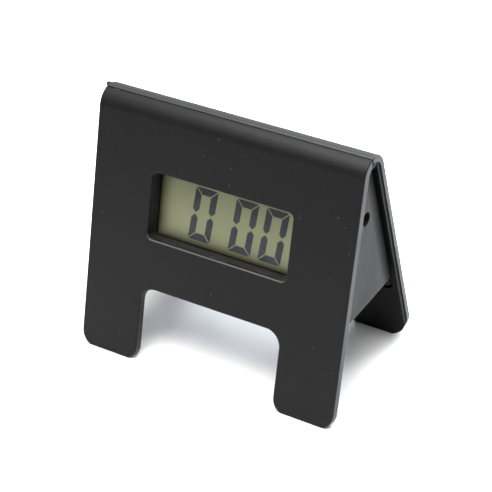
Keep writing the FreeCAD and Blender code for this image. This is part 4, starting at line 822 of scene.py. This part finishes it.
# %% Give every part its finish
FINISH_OF = {
    COVER_PLASTIC: ["front_cover"],
    STAND_PLASTIC: ["stand_cover"],
    SHADED_PANEL_PLASTIC: ["stand_panel"],
    CASE_PLASTIC: ["case_front", "case_back"],
    BUTTON_PLASTIC: ["mode_button", "hour_button", "minute_button"],
    DOOR_PLASTIC: ["battery_door"],
    KNOB_PLASTIC: ["alarm_switch_knob"],
    RUBBER: ["display_gasket"],
    RESIN: ["clock_chip", "push_switches", "alarm_switch_body"],
    HOLDER_PLASTIC: ["lcd_holder"],
    WINDOW_PLASTIC: ["display_lens"],
    DISPLAY_GLASS: ["lcd_front_glass", "lcd_rear_glass"],
    DISPLAY_FACE: ["lcd_front_polarizer"],
    REFLECTOR_FILM: ["lcd_reflector"],
    ZEBRA_RUBBER: ["zebra_strip"],
    SCREW_BLACK: ["stand_screws"],
    STEEL: ["hinge_pin", "case_screws", "board_screws", "quartz_crystal", "negative_spring"],
    NICKEL: ["cell_terminal", "negative_contact", "positive_contact"],
    GOLD: ["buzzer_pins"],
    BRASS: ["buzzer_plate"],
    FIRED_SILVER: ["buzzer_ceramic"],
    BOARD_MASK: ["circuit_board"],
    CERAMIC: ["capacitors"],
    SLEEVE: ["battery_cell"],
}
dressed = set()
for finish, names in FINISH_OF.items():
    for name in names:
        for slot in frame["nodes"][name].material_slots:
            slot.material = finish
        dressed.add(name)
print("without a finish:", sorted(set(frame["nodes"]) - dressed))

# %% [markdown]
# ## The time on the display
# Three zeros stand in the window; the place of the first digit and the colon are blank. Each digit
# is six thin plates with narrow gaps between their slanting ends, leaning a little to the right.
# They are real plates just in front of the film, so they stay sharp at any distance.

# %% The shape of one segment
DIGIT_WIDTH = 0.0077
DIGIT_HEIGHT = 0.0169
STROKE = 0.0022
GAP = 0.00025
SLANT = math.tan(math.radians(5.0))
FILM_GAP = 0.00001
PLATE_THICKNESS = 0.00003


def segment_outlines():
    """The corners of a zero's six segments, from the digit's size, stroke and gap.
    A flat end is cut at 45 degrees, and the ends at half height come to a point in mid-stroke."""
    wide, high, stroke, gap = DIGIT_WIDTH, DIGIT_HEIGHT, STROKE, GAP
    top = np.array([(gap, high), (gap + stroke, high - stroke),
                    (wide - gap - stroke, high - stroke), (wide - gap, high)])
    waist = high / 2 + gap + stroke / 2
    left = np.array([(0.0, high - gap), (0.0, waist), (stroke / 2, high / 2 + gap),
                     (stroke, waist), (stroke, high - gap - stroke)])
    turn_over = np.array([(0.0, high)]) + np.array([(1.0, -1.0)]) * top[::-1]
    lower_left = np.array([(0.0, high)]) + np.array([(1.0, -1.0)]) * left[::-1]
    right = np.array([(wide, 0.0)]) + np.array([(-1.0, 1.0)]) * left[::-1]
    lower_right = np.array([(wide, high)]) + np.array([(-1.0, -1.0)]) * left
    return [top, left, right, turn_over, lower_left, lower_right]


print("segments in a zero:", len(segment_outlines()))

# %% Build and place the three digits
def plate_mesh(name, outlines, left, bottom, front):
    """Thin plates on the leaning front: each outline is placed twice, a plate's thickness apart,
    and its two copies are joined all the way round."""
    points, faces, start = [], [], 0
    for outline in outlines:
        across = left + outline[:, 0] + outline[:, 1] * SLANT
        up = bottom + outline[:, 1]
        count = len(outline)
        rear = on_front(across, up, np.full(count, front))
        face = on_front(across, up, np.full(count, front + PLATE_THICKNESS))
        points.append(np.concatenate([rear, face]))
        ring = start + np.arange(count)
        after = np.roll(ring, -1)
        faces.append((ring + count).tolist())
        faces.append(ring[::-1].tolist())
        faces.extend(np.stack([ring, after, after + count, ring + count], axis=1).tolist())
        start += 2 * count
    mesh = bpy.data.meshes.new(name)
    mesh.from_pydata(np.concatenate(points).tolist(), [], faces)
    mesh.validate()
    return mesh


def place_piece(mesh, body, finish):
    """An object for a finished mesh, dressed and riding on its body."""
    piece = bpy.data.objects.new(mesh.name, mesh)
    bpy.context.scene.collection.objects.link(piece)
    mesh.materials.append(finish)
    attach(piece, body)
    return piece


FILM_FRONT = reach("lcd_front_polarizer", OUT)[1]
FILM_BOTTOM = reach("lcd_front_polarizer", UP)[0]
DIGIT_LIFT = 0.0028
DIGIT_LEFT = {"hour_digit": -0.0132, "ten_minute_digit": 0.0009, "minute_digit": 0.0112}
for name, left in DIGIT_LEFT.items():
    digit = plate_mesh(name, segment_outlines(), left,
                       FILM_BOTTOM + DIGIT_LIFT, FILM_FRONT + FILM_GAP)
    place_piece(digit, "clock", CRYSTAL)
print("digits:", list(DIGIT_LEFT))

# %% [markdown]
# ## The end of the ridge
# At the left end of the ridge a small round tip stands out of the stand's end face. It is a short
# bar with a domed end, and it turns with the stand.

# %% Build and place the tip
TIP_RADIUS = 0.00080
TIP_LENGTH = 0.0026
TIP_SIDES = 24
TIP_STRAIGHT = 0.70
TIP_FROM_MIDDLE = 0.0048
TIP_TURN = math.radians(28.8)


def tip_mesh():
    """Rings of a round bar along the width: full radius at first, then a dome whose radius is
    the bar's times the root of one less the square of the share of the dome's length."""
    share = np.array([0.0, TIP_STRAIGHT, 0.82, 0.92, 0.98])
    dome = np.clip((share - TIP_STRAIGHT) / (1.0 - TIP_STRAIGHT), 0.0, 1.0)
    radius = TIP_RADIUS * np.sqrt(1.0 - dome ** 2)
    angle = np.linspace(0.0, 2.0 * np.pi, TIP_SIDES, endpoint=False)
    middle_y = RIDGE_MIDDLE[0] + TIP_FROM_MIDDLE * math.sin(TIP_TURN)
    middle_z = RIDGE_MIDDLE[1] + TIP_FROM_MIDDLE * math.cos(TIP_TURN)
    y = middle_y + np.multiply.outer(radius, np.cos(angle))
    z = middle_z + np.multiply.outer(radius, np.sin(angle))
    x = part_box("stand_cover")[0].x - share * TIP_LENGTH
    points = np.stack([np.repeat(x, TIP_SIDES), y.ravel(), z.ravel()], axis=1)
    first = np.arange(TIP_SIDES)
    after = np.roll(first, -1)
    faces = [first.tolist()]
    for ring in range(len(share) - 1):
        near, far = ring * TIP_SIDES, (ring + 1) * TIP_SIDES
        ring_faces = [near + after, near + first, far + first, far + after]
        faces.extend(np.stack(ring_faces, axis=1).tolist())
    faces.append(((len(share) - 1) * TIP_SIDES + first[::-1]).tolist())
    mesh = bpy.data.meshes.new("ridge_tip")
    mesh.from_pydata(points.tolist(), [], faces)
    mesh.validate()
    return mesh


place_piece(tip_mesh(), "stand", STAND_PLASTIC)
print("length of the tip:", TIP_LENGTH * 1000, "mm")

# %% [markdown]
# ## Size
# The dressed clock may pass the imported model's box only a little, and only the ridge's tip does.
# How far it grew at the low and high ends is printed.

# %% Print how far the clock grew
VISUAL_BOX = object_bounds()
BELOW = [round((cad - seen) * 1000, 3) for cad, seen in zip(CAD_BOX[0], VISUAL_BOX[0])]
ABOVE = [round((seen - cad) * 1000, 3) for cad, seen in zip(CAD_BOX[1], VISUAL_BOX[1])]
print("grown at the low ends by", BELOW, "and at the high ends by", ABOVE, "mm")
